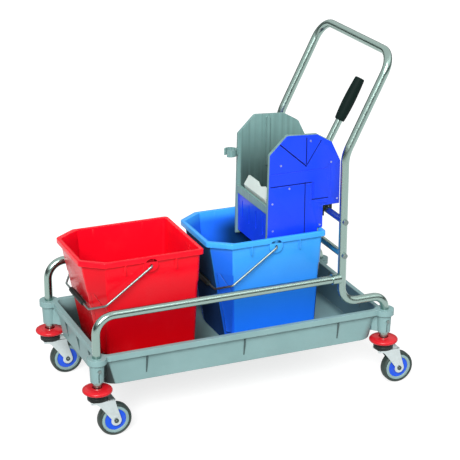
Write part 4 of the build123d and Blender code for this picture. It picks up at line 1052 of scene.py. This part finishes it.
class MESH_OT_trolley_stage(Operator):
    """Lay the floor and set the light and the camera"""

    bl_idname = "mesh.trolley_stage"
    bl_label = "Stage"

    def execute(self, context):
        scene = context.scene
        stage = scene.trolley_stage
        scene.view_settings.view_transform = "Standard"

        pick()
        bpy.ops.mesh.primitive_plane_add(size=60.0, location=(0, 0, -0.0004))
        bpy.ops.object.transform_apply(location=True)
        floor = named("floor")
        tree, shader = new_finish("pale_floor")
        cloud = noise(tree, place_on(tree), 2.0, 3.0, 0.5)
        paint = {
            "Base Color": mixed(tree, cloud, (0.37, 0.37, 0.37), (0.39, 0.39, 0.39)),
            "Roughness": 0.9,
            "Specular IOR Level": 0.0,
            "Emission Color": WHITE,
            "Emission Strength": scaled(tree, camera_rays(tree), stage.lift),
        }
        feed(tree, shader, paint)
        painted(floor.data, "pale_floor")

        world = bpy.data.worlds.new("studio")
        scene.world = world
        world.use_nodes = True
        tree = world.node_tree
        strength = spread(tree, camera_rays(tree), 0.0, 1.0, stage.sky, 1.0)
        feed(tree, tree.nodes["Background"], {"Color": WHITE, "Strength": strength})

        pick()
        bpy.ops.mesh.primitive_cylinder_add(
            vertices=96, radius=6.0, depth=2.4, end_fill_type="NOTHING", location=(0, 0, 1.2)
        )
        bpy.ops.object.transform_apply(location=True)
        wall = named("dark_wall")
        tree, shader = new_finish("wall_cloth")
        feed(tree, shader, {"Base Color": (0.05, 0.065, 0.06, 1.0), "Roughness": 1.0})
        painted(wall.data, "wall_cloth")
        wall.visible_camera = False
        wall.visible_diffuse = False
        wall.visible_shadow = False

        for name, turn, rise, strength, soft in (
            ("key_light", -31.0, 36.0, stage.key, 30.0),
            ("fill_light", 62.0, 35.0, stage.fill, 50.0),
            ("glint_light", 28.0, 52.0, stage.glint, 14.0),
        ):
            side, tall = radians(turn), radians(rise)
            back = Vector((sin(side) * cos(tall), -cos(side) * cos(tall), sin(tall)))
            lamp = bpy.data.lights.new(name, "SUN")
            lamp.energy = strength
            lamp.angle = radians(soft)
            hung(lamp, back * 4.0, (-back).to_track_quat("-Z", "Y"))

        camera = bpy.data.cameras.new("photo_camera")
        camera.lens = stage.lens
        camera.sensor_width = 36.0
        camera.clip_start = 0.05
        camera.clip_end = 100.0
        forward = Vector(stage.look).normalized()
        right = forward.cross(Vector((0, 0, 1))).normalized()
        up = right.cross(forward)
        across = right * cos(stage.roll) + up * sin(stage.roll)
        above = up * cos(stage.roll) - right * sin(stage.roll)
        turn = Matrix((across, above, -forward)).transposed()
        scene.camera = hung(camera, stage.eye, turn.to_quaternion())
        return {"FINISHED"}


class VIEW3D_PT_trolley(Panel):
    """Sizes, colours and steps of the mop trolley"""

    bl_label = "Mop Trolley"
    bl_idname = "VIEW3D_PT_trolley"
    bl_space_type = "VIEW_3D"
    bl_region_type = "UI"
    bl_category = "Mop Trolley"

    def draw(self, context):
        layout = self.layout
        scene = context.scene
        for group in (scene.trolley_colours, scene.trolley_sizes, scene.trolley_stage):
            box = layout.box()
            for key in group.__annotations__:
                box.prop(group, key)
        for step in STEPS:
            layout.operator(step.bl_idname)


STEPS = (
    MESH_OT_trolley_finishes,
    MESH_OT_trolley_frame,
    MESH_OT_trolley_casters,
    MESH_OT_trolley_buckets,
    MESH_OT_trolley_bails,
    MESH_OT_trolley_covers,
    MESH_OT_trolley_wringer,
    MESH_OT_trolley_stage,
)
CLASSES = (TrolleyColours, TrolleySizes, TrolleyStage) + STEPS + (VIEW3D_PT_trolley,)


def register():
    for item in CLASSES:
        bpy.utils.register_class(item)
    bpy.types.Scene.trolley_colours = PointerProperty(type=TrolleyColours)
    bpy.types.Scene.trolley_sizes = PointerProperty(type=TrolleySizes)
    bpy.types.Scene.trolley_stage = PointerProperty(type=TrolleyStage)


def unregister():
    del bpy.types.Scene.trolley_stage
    del bpy.types.Scene.trolley_sizes
    del bpy.types.Scene.trolley_colours
    for item in reversed(CLASSES):
        bpy.utils.unregister_class(item)


def main():
    register()
    bpy.ops.mesh.trolley_finishes()
    bpy.ops.mesh.trolley_frame()
    bpy.ops.mesh.trolley_casters()
    bpy.ops.mesh.trolley_buckets()
    bpy.ops.mesh.trolley_bails()
    bpy.ops.mesh.trolley_covers()
    bpy.ops.mesh.trolley_wringer()
    bpy.ops.mesh.trolley_stage()


if __name__ == "__main__":
    main()
